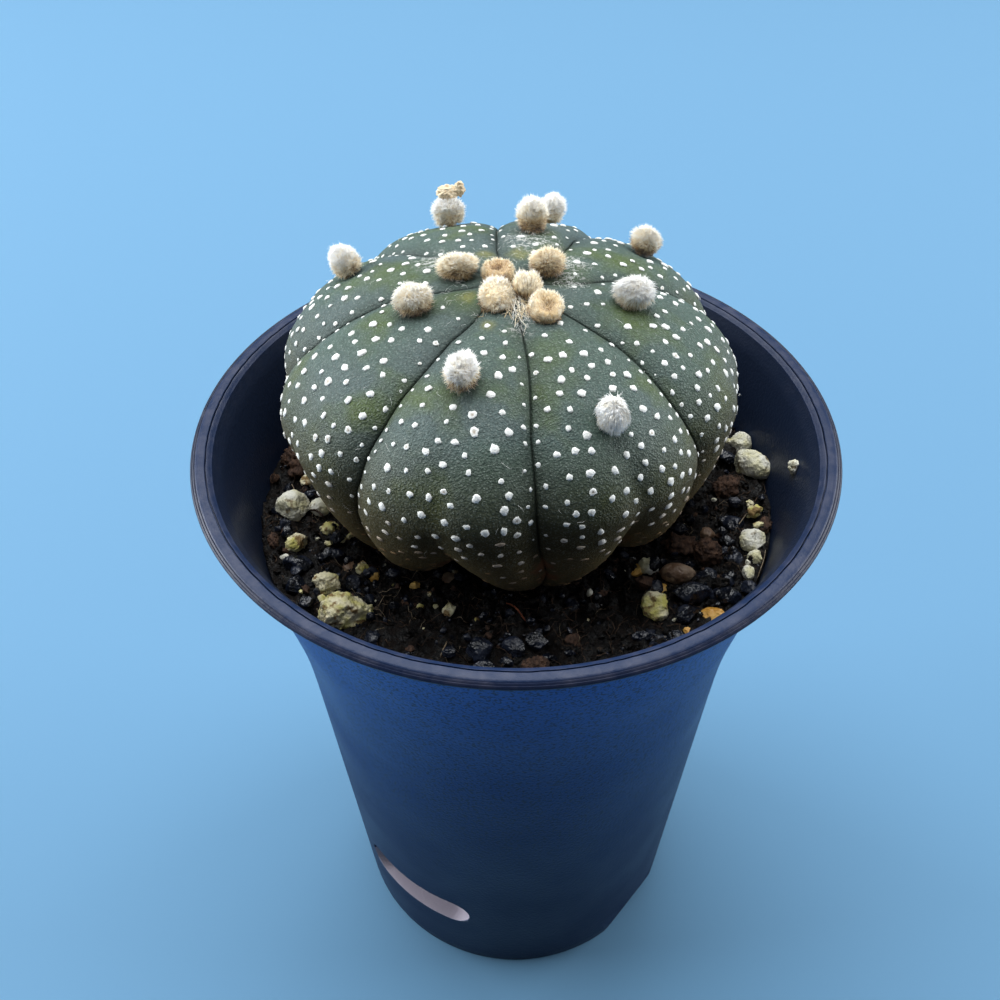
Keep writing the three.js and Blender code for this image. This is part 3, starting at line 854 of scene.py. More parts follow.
@dataclass(frozen=True)
class EarthFinish(Finish):
    """Dark damp peat, painted near black for the shade in the pot, with brown crumbs and a few wet glints.
    """

    name: str = "peat"
    # Painted shade: this near-black tone stands in for the shade inside the pot as well as the peat's own
    # dark colour.
    damp: Rgb = (0.001, 0.001, 0.0012)
    brown: Rgb = (0.006, 0.004, 0.0032)
    pale: Rgb = (0.036, 0.025, 0.017)

    def paint(self, sheet: Sheet, effects: Effects) -> Inputs:
        """Lays the finish's nodes.

        Args:
            sheet: The material's node tree.
            effects: The shared effects.

        Returns:
            What goes in each of the shader's inputs.
        """
        crumbs = effects.spots(sheet, 900, 6, 0.45, 0.62)
        bits = effects.spots(sheet, 1900, 4, 0.62, 0.7)
        grain = sheet.effect(effects.grain, Scale=1500, Roughen=1.4)
        return {
            "Base Color": sheet.blend(bits, sheet.blend(crumbs, self.damp, self.brown), self.pale),
            "Roughness": sheet.span(crumbs, 0, 1, 0.45, 0.95),
            "Specular IOR Level": 0.18,
            "Normal": sheet.bump(grain["Height"], 0.3, 0.9),
        }


@dataclass(frozen=True)
class StoneFinish(Finish):
    """A stone: two tones in patches, a third in stains, pits or painted glints, and its own gloss."""

    name: str
    tone: Rgb
    patch: Rgb
    # The third tone: stains and pits on most stones, a painted highlight on the black pebbles.
    stain_and_glint: Rgb
    stain_and_glint_share: float
    gloss: Pair
    grain_size: float
    relief: float
    specular: float = 0.4

    def paint(self, sheet: Sheet, effects: Effects) -> Inputs:
        """Lays the finish's nodes.

        Args:
            sheet: The material's node tree.
            effects: The shared effects.

        Returns:
            What goes in each of the shader's inputs.
        """
        low = 0.72 - 0.25 * self.stain_and_glint_share
        patches = effects.spots(sheet, 420, 4, 0.4, 0.62)
        stains = effects.spots(sheet, 650, 5, low, low + 0.08)
        grain = sheet.effect(effects.grain, Scale=1 / (self.grain_size * MM), Roughen=0.8)
        tone = sheet.blend(patches, self.tone, self.patch)
        return {
            "Base Color": sheet.blend(stains, tone, self.stain_and_glint),
            "Roughness": sheet.span(patches, 0, 1, *self.gloss),
            "Specular IOR Level": self.specular,
            "Normal": sheet.bump(grain["Height"], self.relief, 0.8),
        }


@dataclass(frozen=True)
class FibreFinish(Finish):
    """Bark, peat fibre and dried petals: streaks drawn out along one axis."""

    name: str
    tone: Rgb
    streak: Rgb
    stretch: Triple = (1, 1, 0.3)
    streak_size: float = 0.5
    relief: float = 0.15
    roughness: float = 0.85

    def paint(self, sheet: Sheet, effects: Effects) -> Inputs:
        """Lays the finish's nodes.

        Args:
            sheet: The material's node tree.
            effects: The shared effects.

        Returns:
            What goes in each of the shader's inputs.
        """
        scale = 1 / (self.streak_size * MM)
        place = sheet.place(self.stretch)
        streaks = sheet.add("TexNoise", {"Vector": place, "Scale": scale, "Detail": 5}).outputs["Fac"]
        patches = effects.spots(sheet, 500, 3, 0.35, 0.7)
        tone = sheet.blend(sheet.span(streaks, 0.38, 0.62), self.tone, self.streak)
        dark = tuple(part * 0.45 for part in self.tone)
        return {
            "Base Color": sheet.tint(tone, dark, patches, 0.5),
            "Roughness": self.roughness,
            "Specular IOR Level": 0.25,
            "Normal": sheet.bump(streaks, self.relief, 0.7),
        }


STONE_FINISHES = {
    Kind.PUMICE_WHITE: StoneFinish(
        "pumice_white", (0.7, 0.69, 0.61), (0.58, 0.55, 0.34), (0.2, 0.16, 0.09), 0.5, (0.75, 0.9), 0.3, 0.12
    ),
    Kind.PUMICE_YELLOW: StoneFinish(
        "pumice_yellow", (0.68, 0.63, 0.44), (0.5, 0.46, 0.13), (0.2, 0.13, 0.05), 0.75,
        (0.75, 0.9), 0.35, 0.2
    ),
    # Painted highlight: the black pebble's lighter third tone stands in for glints.
    Kind.PEBBLE_BLACK: StoneFinish(
        "pebble_black", (0.003, 0.004, 0.007), (0.009, 0.013, 0.026), (0.03, 0.036, 0.05), 0.3,
        (0.16, 0.36), 0.45, 0.2, 0.5
    ),
    Kind.PEBBLE_BROWN: StoneFinish(
        "pebble_brown", (0.15, 0.09, 0.055), (0.26, 0.19, 0.13), (0.07, 0.04, 0.025), 0.6,
        (0.4, 0.6), 0.5, 0.14
    ),
    Kind.PEBBLE_AMBER: StoneFinish(
        "pebble_amber", (0.5, 0.24, 0.035), (0.62, 0.4, 0.12), (0.2, 0.09, 0.02), 0.3, (0.35, 0.6), 0.5, 0.12
    ),
    Kind.BARK: FibreFinish("bark", (0.022, 0.012, 0.009), (0.1, 0.055, 0.035), (1, 0.35, 1), 0.45, 0.35),
}
FIBRE_FINISHES = {
    Strand.PEAT: FibreFinish("peat_fibre", (0.03, 0.018, 0.011), (0.085, 0.052, 0.034)),
    Strand.RUST: FibreFinish("rust_twig", (0.16, 0.04, 0.018), (0.26, 0.085, 0.04)),
    Strand.STRAW: FibreFinish("pale_fibre", (0.22, 0.16, 0.1), (0.38, 0.31, 0.22)),
}


class Finishes:
    """All the materials, built once."""

    def __init__(self) -> None:
        """Builds the shared effects and then each material."""
        effects = Effects()
        self.skin = SkinFinish().build(effects)
        self.wool = WoolFinish().build(effects)
        self.fleck = PlainWoolFinish().build(effects)
        self.plastic = PlasticFinish().build(effects)
        self.peat = EarthFinish().build(effects)
        petal = FibreFinish("dried_petal", (0.7, 0.54, 0.35), (0.86, 0.75, 0.56), streak_size=0.4)
        self.petal = petal.build(effects)
        self.fibres = {sort: finish.build(effects) for sort, finish in FIBRE_FINISHES.items()}
        self.stones = {kind: finish.build(effects) for kind, finish in STONE_FINISHES.items()}


# The plant


@dataclass(frozen=True)
class StarForm:
    """The plant's outer form: a low globe with eight ribs, narrow creases and a drawn-in underside."""

    centre: Pair = (-1.0, 5.0)
    radius: float = 32.2
    equator: float = 116.3
    top_rise: float = 15.1
    bottom_drop: float = 23.7
    shoulder: float = 0.8
    belly: float = 0.51
    groove_depth: float = 2.5
    groove_sharpness: float = 3.3
    groove_fade: float = 0.7
    groove_dip: float = 0.5
    slit_depth: float = 0.36
    slit_width: float = 0.12
    tuck_in: float = 9.0
    tuck_up: float = 5.7
    rest_height: float = 98.5
    flatten: float = 0.35
    last_polar: float = 150.0
    neck: Pair = (10.4, 97.4)
    root: Pair = (9.0, 86.0)
    root_tip: float = 80.5
    grooves: tuple[float, ...] = (-83.5, -37.5, 12.5, 57, 94, 138, 186, 233)
    # How far each groove strays from its place, as pairs of polar angle and degrees.
    bends: tuple[Pairs, ...] = (
        ((12, 4.5), (24, 3.1), (37, 1.1), (50, -0.4), (86, -0.4), (102, 0.5), (120, 3.5)),
        ((15, -1.6), (22, -0.6), (30, 0.9), (48, -0.5), (58, -0.5), (72, 0.1), (91, 3.4)),
        ((14, -6.1), (21, -1.5), (29, 0.5)),
        ((20, -5.6), (33, 0.6), (49, 1.3)),
        ((13, 3.4), (23, 1.0), (45, -1.6)),
        ((0, 0.0), (1, 0.0)),
        ((11, -0.6), (18, -4.4), (25, -4.4), (35, -0.4), (56, 0.9), (71, -1.2)),
        ((12, 7.7), (20, 3.0), (30, 2.0), (42, 0.7), (54, 0.0), (66, -1.1), (83, -2.0), (102, -5.0)),
    )
    crest_depths: tuple[float, ...] = (0.75, 0.3, 0.25, 0.3, 0.2, 0.25, 0.3, 0.35)
    crest_width: float = 2.0
    # The polar angles, in radians, between which the crests' furrows grow deep.
    crest_polar: Pair = (0.85, 1.35)
    pit_depth: float = 0.6
    pit_width: float = 2.4

    def rib_ends(self) -> tuple[Array, Array]:
        """Where each rib starts and ends, in degrees from the first groove."""
        starts = np.array(self.grooves) - self.grooves[0]
        return starts, np.append(starts[1:], 360.0)

    def across(self, azimuth: Array) -> tuple[Array, Array]:
        """Finds the rib that each azimuth lies on.

        Args:
            azimuth: Angles round the plant, in radians.

        Returns:
            The numbers of the ribs, and how far across its rib each azimuth is, from 0 to 1.
        """
        starts, ends = self.rib_ends()
        turned = np.mod(np.degrees(azimuth) - self.grooves[0], 360.0)
        rib = np.searchsorted(starts, turned, side="right") - 1
        return rib, (turned - starts[rib]) / (ends[rib] - starts[rib])

    def azimuth(self, rib: Array, share: Array) -> Array:
        """The azimuth in radians of a place across a rib."""
        starts, ends = self.rib_ends()
        return np.radians(self.grooves[0] + starts[rib] + (ends[rib] - starts[rib]) * share)

    def stray(self, azimuth: Array, polar: Array) -> Array:
        """How far the skin is drawn round by the bends of its grooves.

        Args:
            azimuth: Angles round the plant, in radians.
            polar: Angles from the crown, in radians.

        Returns:
            An angle in radians for each pair.
        """
        rib, share = self.across(azimuth)
        bends = np.array([np.interp(np.degrees(polar), *zip(*bend)) for bend in self.bends])
        index = np.arange(len(rib))
        here = bends[rib, index]
        return np.radians(here + (bends[(rib + 1) % len(self.grooves), index] - here) * share)

    def unstrayed(self, azimuth: float, polar: float) -> tuple[Array, Array]:
        """The angles, in radians, from which the bends bring a place to the given ones, in degrees."""
        angle, drop = np.radians([azimuth]), np.radians([polar])
        return angle - self.stray(angle - self.stray(angle, drop), drop), drop

    def groove_distance(self, azimuth: Array, polar: Array) -> Array:
        """How far each place is from the nearest groove.

        Args:
            azimuth: Angles round the plant, in radians.
            polar: Angles from the crown, in radians.

        Returns:
            The distances along the skin, in millimetres.
        """
        rib, share = self.across(azimuth)
        starts, ends = self.rib_ends()
        half = np.radians(ends[rib] - starts[rib]) / 2
        width = self.radius * np.maximum(np.sin(polar), 0) ** self.shoulder
        return (1 - np.abs(2 * share - 1)) * half * width

    def bare(self, azimuth: Array, polar: Array) -> Array:
        """The skin without its slits, furrows and pits.

        Args:
            azimuth: Angles round the plant, in radians.
            polar: Angles from 0 at the crown to pi underneath.

        Returns:
            One point for each pair of angles.
        """
        _, share = self.across(azimuth)
        to_crest = 1 - np.abs(2 * share - 1)
        sine = np.maximum(np.sin(polar), 0)
        cosine = np.cos(polar)
        valley = self.groove_depth * sine**self.groove_fade * (1 - to_crest) ** self.groove_sharpness
        below = np.maximum(0, (polar - math.pi / 2) / (math.pi / 2)) * to_crest**2
        outline = sine ** np.where(cosine > 0, self.shoulder, self.belly)
        radius = self.radius * outline - valley - self.tuck_in * below
        rise = np.where(cosine > 0, self.top_rise, self.bottom_drop) * cosine
        dip = self.groove_dip * valley * np.maximum(cosine, -0.2)
        height = self.equator + rise - dip + self.tuck_up * below
        height = np.where(
            height < self.rest_height, self.rest_height + (height - self.rest_height) * self.flatten, height
        )
        x, y = self.centre
        turned = azimuth + self.stray(azimuth, polar)
        return np.stack([x + radius * np.cos(turned), y + radius * np.sin(turned), height], axis=-1)

    def skin(self, azimuth: Array, polar: Array, pits: Array) -> Array:
        """The finished skin.

        Args:
            azimuth: Angles round the plant, in radians.
            polar: Angles from 0 at the crown to pi underneath.
            pits: Places of the tufts, which stand in shallow hollows.

        Returns:
            One point for each pair of angles.
        """
        points = self.bare(azimuth, polar)
        rib, share = self.across(azimuth)
        sine = np.maximum(np.sin(polar), 0)
        width = self.radius * sine**self.shoulder
        aside = (share - 0.5) * math.radians(45) * width
        furrow = np.array(self.crest_depths)[rib] * np.exp(-((aside / self.crest_width) ** 2))
        furrow *= climb(polar, *self.crest_polar)
        distance = self.groove_distance(azimuth, polar)
        slit = self.slit_depth * sine**0.5 * np.exp(-((distance / self.slit_width) ** 2))
        hollow = np.zeros(len(points))
        for pit in pits:
            apart = np.linalg.norm(points - pit, axis=1)
            hollow += self.pit_depth * np.exp(-((apart / self.pit_width) ** 2))
        turned = azimuth + self.stray(azimuth, polar)
        inward = np.stack([np.cos(turned) * sine, np.sin(turned) * sine, np.cos(polar)], axis=-1)
        return points - inward * (slit + furrow + hollow)[:, None]

    def normal(self, azimuth: Array, polar: Array) -> Array:
        """The outward direction of the bare skin.

        Args:
            azimuth: Angles round the plant, in radians.
            polar: Angles from the crown, in radians.

        Returns:
            A direction of length one for each pair.
        """
        step = 0.02
        along = self.bare(azimuth, polar + step) - self.bare(azimuth, polar - step)
        around = self.bare(azimuth + step, polar) - self.bare(azimuth - step, polar)
        return unit(np.cross(along, around))

    def crown(self) -> Array:
        """The top of the plant."""
        return self.bare(np.array([0.0]), np.array([1e-4]))[0]


@dataclass(frozen=True)
class Tuft:
    """One tuft of wool: its node, place, half sizes, tint and how it grows.

    The half sizes run along the skin level, up the skin and out of it, hair included. A square of 2 makes
    the tuft round and a higher one makes it a drum; egg narrows it to its top, and dimple sinks its top.
    """

    name: str
    azimuth: float
    polar: float
    half: Triple
    rise: float
    pale: float = 0.82
    tint: Tint = Tint.WHITE
    square: float = 2.0
    egg: float = 0.0
    dimple: float = 0.0
    comb: Triple = (0.0, 0.0, -0.25)
    lean: Triple = (0.0, 0.0, 0.0)
    clump: float = 0.6
    wild: float = 0.24
    lumps: float = 0.1
    shade: float = 0.9
    hairs: int = 3000
    hair: float = 0.95
    beard: Triple = (0.0, 0.0, -1.0)
    beard_hairs: int = 220
    beard_length: float = 0.9


TUFTS = (
    Tuft("areole_wool_front_left", 253, 30, (2.45, 2.1, 1.95), 1.9, 0.9, egg=-0.08, comb=(0, 0, 0.15),
         clump=0.75, shade=1.3, beard=(-0.5, -0.7, -0.7), beard_hairs=620, beard_length=1.35),
    Tuft("areole_wool_front_right", 298.5, 46.5, (2.1, 2.5, 2.0), 1.9, 0.92, egg=0.05,
         comb=(-0.15, 0, -0.95), wild=0.12, hair=1.15, clump=0.35, shade=0.25),
    Tuft("areole_wool_right", 351, 25.5, (2.2, 2.9, 1.8), 1.9, 0.92, comb=(-0.25, 0, -0.6), hair=1.1,
         clump=0.35, wild=0.16, shade=0.5),
    Tuft("areole_wool_back_right", 37, 45.5, (2.2, 2.4, 1.85), 1.8, 0.68, lean=(0.15, 0, 0.1), shade=1.1),
    Tuft("areole_wool_back_inner", 77, 26.5, (2.3, 2.2, 2.5), 2.0, 0.74, egg=0.1, comb=(0, 0, 0.5),
         clump=0.7, wild=0.16, hair=1.1, shade=0.7),
    Tuft("areole_wool_back_outer", 74, 47, (1.9, 1.9, 2.1), 2.0, 0.92, egg=0.12, comb=(0.35, 0, 0.2),
         lean=(0.3, 0.1, 0.0), shade=0.3),
    Tuft("areole_wool_back_left", 109.5, 44.5, (2.4, 2.2, 2.15), 2.0, 0.88, comb=(0, 0, 0.1), shade=0.4),
    Tuft("areole_wool_left_back", 155.5, 44, (2.2, 2.2, 2.3), 1.8, 0.86, egg=0.1, comb=(-0.3, 0, 0.3),
         lean=(-0.25, 0.0, 0.15), shade=0.5),
    Tuft("areole_wool_left", 200.5, 18, (2.4, 2.75, 1.85), 1.8, 0.68, wild=0.28, shade=0.8,
         beard=(-0.4, -0.6, -0.8), beard_hairs=420, beard_length=1.0),
    Tuft("areole_wool_crown_left", 157.5, 8.3, (1.9, 2.7, 1.55), 1.4, 0.54, Tint.TAN, comb=(0, 0, 0.1),
         wild=0.28, shade=0.35),
    Tuft("areole_wool_crown_right", 29, 7.3, (1.9, 2.4, 1.7), 1.5, 0.43, Tint.TAN, comb=(0, 0, 0.1),
         wild=0.28, shade=0.3),
)


@dataclass
class Plant:
    """The plant's body with its flecks and the loose hairs on its skin."""

    form: StarForm = field(default_factory=StarForm)
    columns_per_rib: int = 52
    rows: int = 196
    lump_height: float = 0.14
    fleck_width: float = 0.94
    fleck_gap: float = 2.45
    groove_gap: float = 2.9
    groove_offset: float = 0.75
    last_fleck: float = 2.35
    fleck_tries: int = 30000
    # How many different flecks there are, and which of them has a dull dent.
    fleck_kinds: int = 9
    dented: int = 4
    # The width of the cells in which near flecks are looked up, which is more than any gap.
    cell: float = 3.0
    crown_clear: float = 8.4
    tuft_clear: float = 3.4
    near_hairs: int = 150
    stray_hairs: int = 70
    hair_radius: float = 0.018
    # The painted shade in the grooves, darkness and width, for the slit and for the valley round it.
    creases: Pairs = ((0.3, 0.16), (0.34, 1.3))
    # The polar angles, in degrees, between which the skin turns dark brown, partly its own colour and partly
    # painted shade on the underside, then corky, and the flecks wear and darken, partly as painted shade.
    belly: Pair = (50, 92)
    base: Pair = (99, 119)
    worn_and_shaded: Pair = (88, 114)
    # Brown scabs, as azimuth, polar angle and size.
    scars: tuple[Triple, ...] = (
        (253, 128, 2.2), (299, 126, 2.2), (276, 112, 1.3), (277, 121, 1.3), (209, 128, 2), (344, 128, 2),
        (30, 128, 2), (73, 128, 2), (115, 128, 2), (163, 128, 2),
    )
    # Patches near the crown, as offset from its middle and size.
    young: tuple[Triple, ...] = (
        (-2.7, 7.6, 1.2), (1.7, 7.8, 1.4), (-2.4, -8.8, 0.8), (-5.2, -2.8, 0.9),
    )
    scurf: tuple[Triple, ...] = (
        (3.4, 12.3, 3.0), (-9.6, 7.2, 2.4), (-8.0, 5.0, 1.6), (2.2, -7.4, 1.6), (1.4, -9.4, 1.2),
        (8.6, 1.6, 2.0), (9.0, 5.5, 1.8),
    )

    def tuft_points(self) -> Array:
        """Where the tufts stand on the bare skin."""
        return np.vstack([self.form.bare(*self.form.unstrayed(tuft.azimuth, tuft.polar)) for tuft in TUFTS])

    def body(self) -> Piece:
        """Models the body: a globe whose corners are drawn to the plant's form, down to its root.

        Returns:
            The body's piece.
        """
        form = self.form
        columns = self.columns_per_rib * len(form.grooves)
        deselect_all()
        bpy.ops.mesh.primitive_uv_sphere_add(segments=columns, ring_count=self.rows, radius=1)
        piece = bpy.context.object
        piece.name = piece.data.name = "star_cactus_body"
        globe = corners_of(piece) * MM
        row = np.rint(np.arccos(np.clip(globe[:, 2], -1, 1)) / math.pi * self.rows).astype(int)
        column = np.rint(angles_of(globe) / (2 * math.pi) * columns).astype(int) % columns
        share = 0.5 - 0.5 * np.cos(math.pi * (column % self.columns_per_rib) / self.columns_per_rib)
        azimuth = form.azimuth(column // self.columns_per_rib, share)
        last = self.rows - 3
        polar = np.radians(form.last_polar) * np.clip(row / last, 1e-5, 1)
        corners = form.skin(azimuth, polar, self.tuft_points())
        corners += form.normal(azimuth, polar) * (self.lump_height * field_noise(corners, 5.0))[:, None]
        below = ((last + 1, form.neck), (last + 2, form.root), (self.rows, (0, form.root_tip)))
        for level, (radius, height) in below:
            ring = row == level
            corners[ring, :2] = np.array(form.centre) + radius * circling(azimuth[ring])
            corners[ring, 2] = height
        corners[row == 0] = form.crown()
        set_corners(piece, corners)
        smooth(piece)
        self._mark(piece, azimuth, polar)
        return piece

    def _mark(self, piece: Piece, azimuth: Array, polar: Array) -> None:
        """Marks the grooves' painted shade, the shaded brown underside, the scabs and the patches for the
        skin.

        Args:
            piece: The body.
            azimuth: Each corner's angle round the plant, in radians.
            polar: Its angle from the crown, in radians.
        """
        corners = corners_of(piece)
        apart = self.form.groove_distance(azimuth, polar)
        # Painted shade along the grooves.
        creases = sum(dark * np.exp(-((apart / width) ** 2)) for dark, width in self.creases)
        add_values(piece, "groove_shade", creases)
        add_values(piece, "belly", climb(np.degrees(polar), *self.belly))
        add_values(piece, "base", climb(np.degrees(polar), *self.base))
        add_values(piece, "scar", self._scar_share(corners))
        add_values(piece, "young", self._patch_share(corners, self.young))
        add_values(piece, "scurf", self._patch_share(corners, self.scurf))

    def _patch_share(self, corners: Array, patches: tuple[Triple, ...]) -> Array:
        """How far each corner lies in one of the ragged patches near the crown.

        Args:
            corners: The body's corners.
            patches: The patches, each as offset from the crown's middle and size.

        Returns:
            A share from 0 to 1 for each corner.
        """
        share = np.zeros(len(corners))
        ragged = 0.5 * field_noise(corners, 1.3, 9)
        offset = corners[:, :2] - np.array(self.form.centre)
        high = corners[:, 2] > self.form.equator
        for x, y, size in patches:
            apart = reach_of(offset, (x, y)) / size + ragged
            share = np.maximum(share, np.clip(1.5 - apart, 0, 1) * high)
        return share

    def _scar_share(self, corners: Array) -> Array:
        """How brown each corner is, round the old areoles low on the ribs.

        Args:
            corners: The body's corners.

        Returns:
            A share from 0 to 1 for each corner.
        """
        share = np.zeros(len(corners))
        ragged = 1 + 0.5 * field_noise(corners, 0.9, 3)
        for azimuth, polar, size in self.scars:
            place = self.form.bare(np.radians([azimuth]), np.radians([polar]))[0]
            apart = np.linalg.norm(corners - place, axis=1) * ragged
            share = np.maximum(share, np.clip(1.4 - apart / size, 0, 0.85))
        return share

    def _candidates(self, rng: Draws) -> tuple[Array, ...]:
        """Draws where flecks may grow: small ones beside the grooves, and then larger ones between them.

        Args:
            rng: The seeded stream of draws.

        Returns:
            The azimuths, the polar angles, the sizes and how far each keeps from the others.
        """
        form = self.form
        beside = []
        for groove in form.grooves:
            for side in (-1, 1):
                polar = 0.33 + rng.uniform(0, 0.06)
                while polar < self.last_fleck:
                    reach = self.groove_offset * rng.uniform(0.7, 1.7)
                    width = form.radius * math.sin(polar) ** form.shoulder
                    angle = math.radians(groove) + side * reach / width
                    beside.append((angle, polar, rng.uniform(0.5, 0.8), 1.4))
                    polar += self.groove_gap * rng.uniform(0.6, 1.6) / 27
        tries = self.fleck_tries
        azimuth = rng.uniform(0, 2 * math.pi, tries)
        polar = np.arccos(rng.uniform(math.cos(self.last_fleck), math.cos(0.2), tries))
        apart = form.groove_distance(azimuth, polar)
        low = np.maximum(0.0, polar - 1.75)
        size = np.clip(rng.normal(1, 0.14, tries), 0.62, 1.35) * (1 - 0.3 * low)
        size *= np.where(apart < 2.5, 0.85, 1)
        gap = self.fleck_gap * rng.uniform(0.72, 1.22, tries) * (1 - 0.25 * low)
        between = np.stack([azimuth, polar, size, gap], axis=1)[apart > 1.5]
        return tuple(np.vstack([np.array(beside), between]).T)

    def _fleck_places(self, rng: Draws) -> tuple[Array, Array, Array]:
        """Chooses the flecks in turn, each clear of the crown, the tufts and the flecks before it.

        Args:
            rng: The seeded stream of draws.

        Returns:
            The azimuths, the polar angles and the sizes.
        """
        azimuth, polar, size, gap = self._candidates(rng)
        points = self.form.bare(azimuth, polar)
        clear = np.linalg.norm(points - self.form.crown(), axis=1) > self.crown_clear
        for tuft in self.tuft_points():
            clear &= np.linalg.norm(points - tuft, axis=1) > self.tuft_clear
        homes = np.floor(points / self.cell).astype(int).tolist()
        cells: dict[tuple[int, int, int], list[int]] = {}
        kept = []
        for index in np.flatnonzero(clear).tolist():
            x, y, z = homes[index]
            near = [
                other
                for dx in (-1, 0, 1)
                for dy in (-1, 0, 1)
                for dz in (-1, 0, 1)
                for other in cells.get((x + dx, y + dy, z + dz), ())
            ]
            if near and np.min(np.linalg.norm(points[near] - points[index], axis=1)) < gap[index]:
                continue
            cells.setdefault((x, y, z), []).append(index)
            kept.append(index)
        return azimuth[kept], polar[kept], size[kept]

    def _fleck_shapes(self, rng: Draws) -> list[tuple[Shape, Array]]:
        """Models a few flecks about a millimetre wide, one of them with a dull dent in its middle.

        Args:
            rng: The seeded stream of draws.

        Returns:
            Each fleck's shape, and how dull each of its corners is.
        """
        shapes = []
        for number in range(self.fleck_kinds):
            cushion, middle = self._cushion(rng)
            dull = np.zeros(len(cushion.corners))
            if number == self.dented:
                cushion.corners[middle & (cushion.corners[:, 2] > 0), 2] -= 0.16
                dull[middle] = 0.8
            fringe = self._fringe(rng)
            dull = np.append(dull, np.full(len(fringe.corners), 0.1))
            shapes.append((joined([cushion, fringe]), dull))
        return shapes

    def _cushion(self, rng: Draws) -> tuple[Shape, Array]:
        """Models a fleck's flat ragged cushion.

        Args:
            rng: The seeded stream of draws.

        Returns:
            The cushion, and which of its corners are in its middle.
        """
        deselect_all()
        half = 0.5 * self.fleck_width * MM
        bpy.ops.mesh.primitive_uv_sphere_add(segments=10, ring_count=5, radius=half)
        low = (0, 0, -0.12 * MM)
        with all_in_edit(bpy.context.object):
            bpy.ops.mesh.bisect(plane_co=low, plane_no=(0, 0, 1), use_fill=True, clear_inner=True)
        cushion = taken(bpy.context.object)
        turn = angles_of(cushion.corners)
        middle = reach_of(cushion.corners) < 0.12
        outline = 1 + sum(
            rng.uniform(0.03, 0.1) * np.cos(waves * turn + rng.uniform(0, 6)) for waves in (2, 3, 4, 5)
        )
        cushion.corners *= rng.uniform(0.95, 1.05, cushion.corners.shape) * np.array([1, 1, 0.38])
        cushion.corners[:, :2] *= outline[:, None]
        return cushion, middle

    def _fringe(self, rng: Draws) -> Shape:
        """Models the short hairs that stand out round a fleck.

        Args:
            rng: The seeded stream of draws.

        Returns:
            The hairs.
        """
        count = 8
        turn = np.arange(count) * GOLDEN + rng.uniform(0, 6)
        lean = rng.uniform(0.9, 1.5, count)
        out = np.column_stack([np.sin(lean)[:, None] * circling(turn), np.cos(lean)])
        root = out * np.array([0.4, 0.4, 0.12]) * self.fleck_width
        tip = root + out * rng.uniform(0.1, 0.24, (count, 1)) + rng.normal(0, 0.04, (count, 3))
        return strands(np.stack([root, tip], axis=1), np.full((count, 1), 0.026))

    def flecks(self) -> Piece:
        """Sets the flecks on the skin: cushions above, and flat dashes low down, brownish from wear and
        painted shade.

        Returns:
            One piece of all the flecks.
        """
        rng = np.random.default_rng(41)
        azimuth, polar, size = self._fleck_places(rng)
        count = len(size)
        shapes = self._fleck_shapes(rng)
        points = self.form.skin(azimuth, polar, self.tuft_points())
        # Wear and painted shade: the lower a fleck sits, the browner and darker it is.
        worn_and_shaded = climb(np.degrees(polar) + rng.normal(0, 5, count), *self.worn_and_shaded)
        level = upright(self.form.normal(azimuth, polar), np.zeros(count))
        stretch = rng.uniform(0.84, 1.18, (count, 3)) * size[:, None]
        stretch *= np.stack([1 + 0.1 * worn_and_shaded, 1 - 0.5 * worn_and_shaded, 1 - 0.45 * worn_and_shaded], axis=1)
        spins = rng.uniform(0, 2 * math.pi, count)
        cos, sin, zero, one = np.cos(spins), np.sin(spins), np.zeros(count), np.ones(count)
        rows = np.stack([cos, -sin, zero, sin, cos, zero, zero, zero, one], axis=1)
        turns = level * stretch[:, None] @ rows.reshape(-1, 3, 3)
        choice = rng.integers(0, len(shapes), count)
        sets, dull = [], []
        for number, (shape, marks) in enumerate(shapes):
            chosen = choice == number
            sets.append(shape.moved(turns[chosen], points[chosen]))
            dull.append((marks[None] + worn_and_shaded[chosen, None]).reshape(-1))
        piece = piece_from("skin_flecks", joined(sets))
        add_values(piece, "worn_and_shaded", np.clip(np.concatenate(dull), 0, 1))
        LOG.info("flecks on the skin: %d", count)
        return piece

    def _hair_starts(self, rng: Draws) -> tuple[Array, Array]:
        """Draws where the loose hairs start, as azimuths and polar angles.

        Args:
            rng: The seeded stream of draws.

        Returns:
            The angles: first those near the crown, and then the stray ones.
        """
        spots = []
        for x, y, size in self.scurf:
            spots.append(np.array([x, y]) + rng.normal(0, 0.55 * size, (int(32 * size), 2)))
        ring = rng.uniform(0, 2 * math.pi, self.near_hairs)
        away = rng.normal(7.2, 1.5, self.near_hairs)
        spots.append(away[:, None] * circling(ring))
        flat = np.vstack(spots)
        reach = np.minimum(reach_of(flat) / self.form.radius, 0.9)
        azimuth = np.append(angles_of(flat), rng.uniform(0, 2 * math.pi, self.stray_hairs))
        stray = np.arccos(rng.uniform(-0.3, 0.95, self.stray_hairs))
        return azimuth, np.append(np.arcsin(reach ** (1 / self.form.shoulder)), stray)

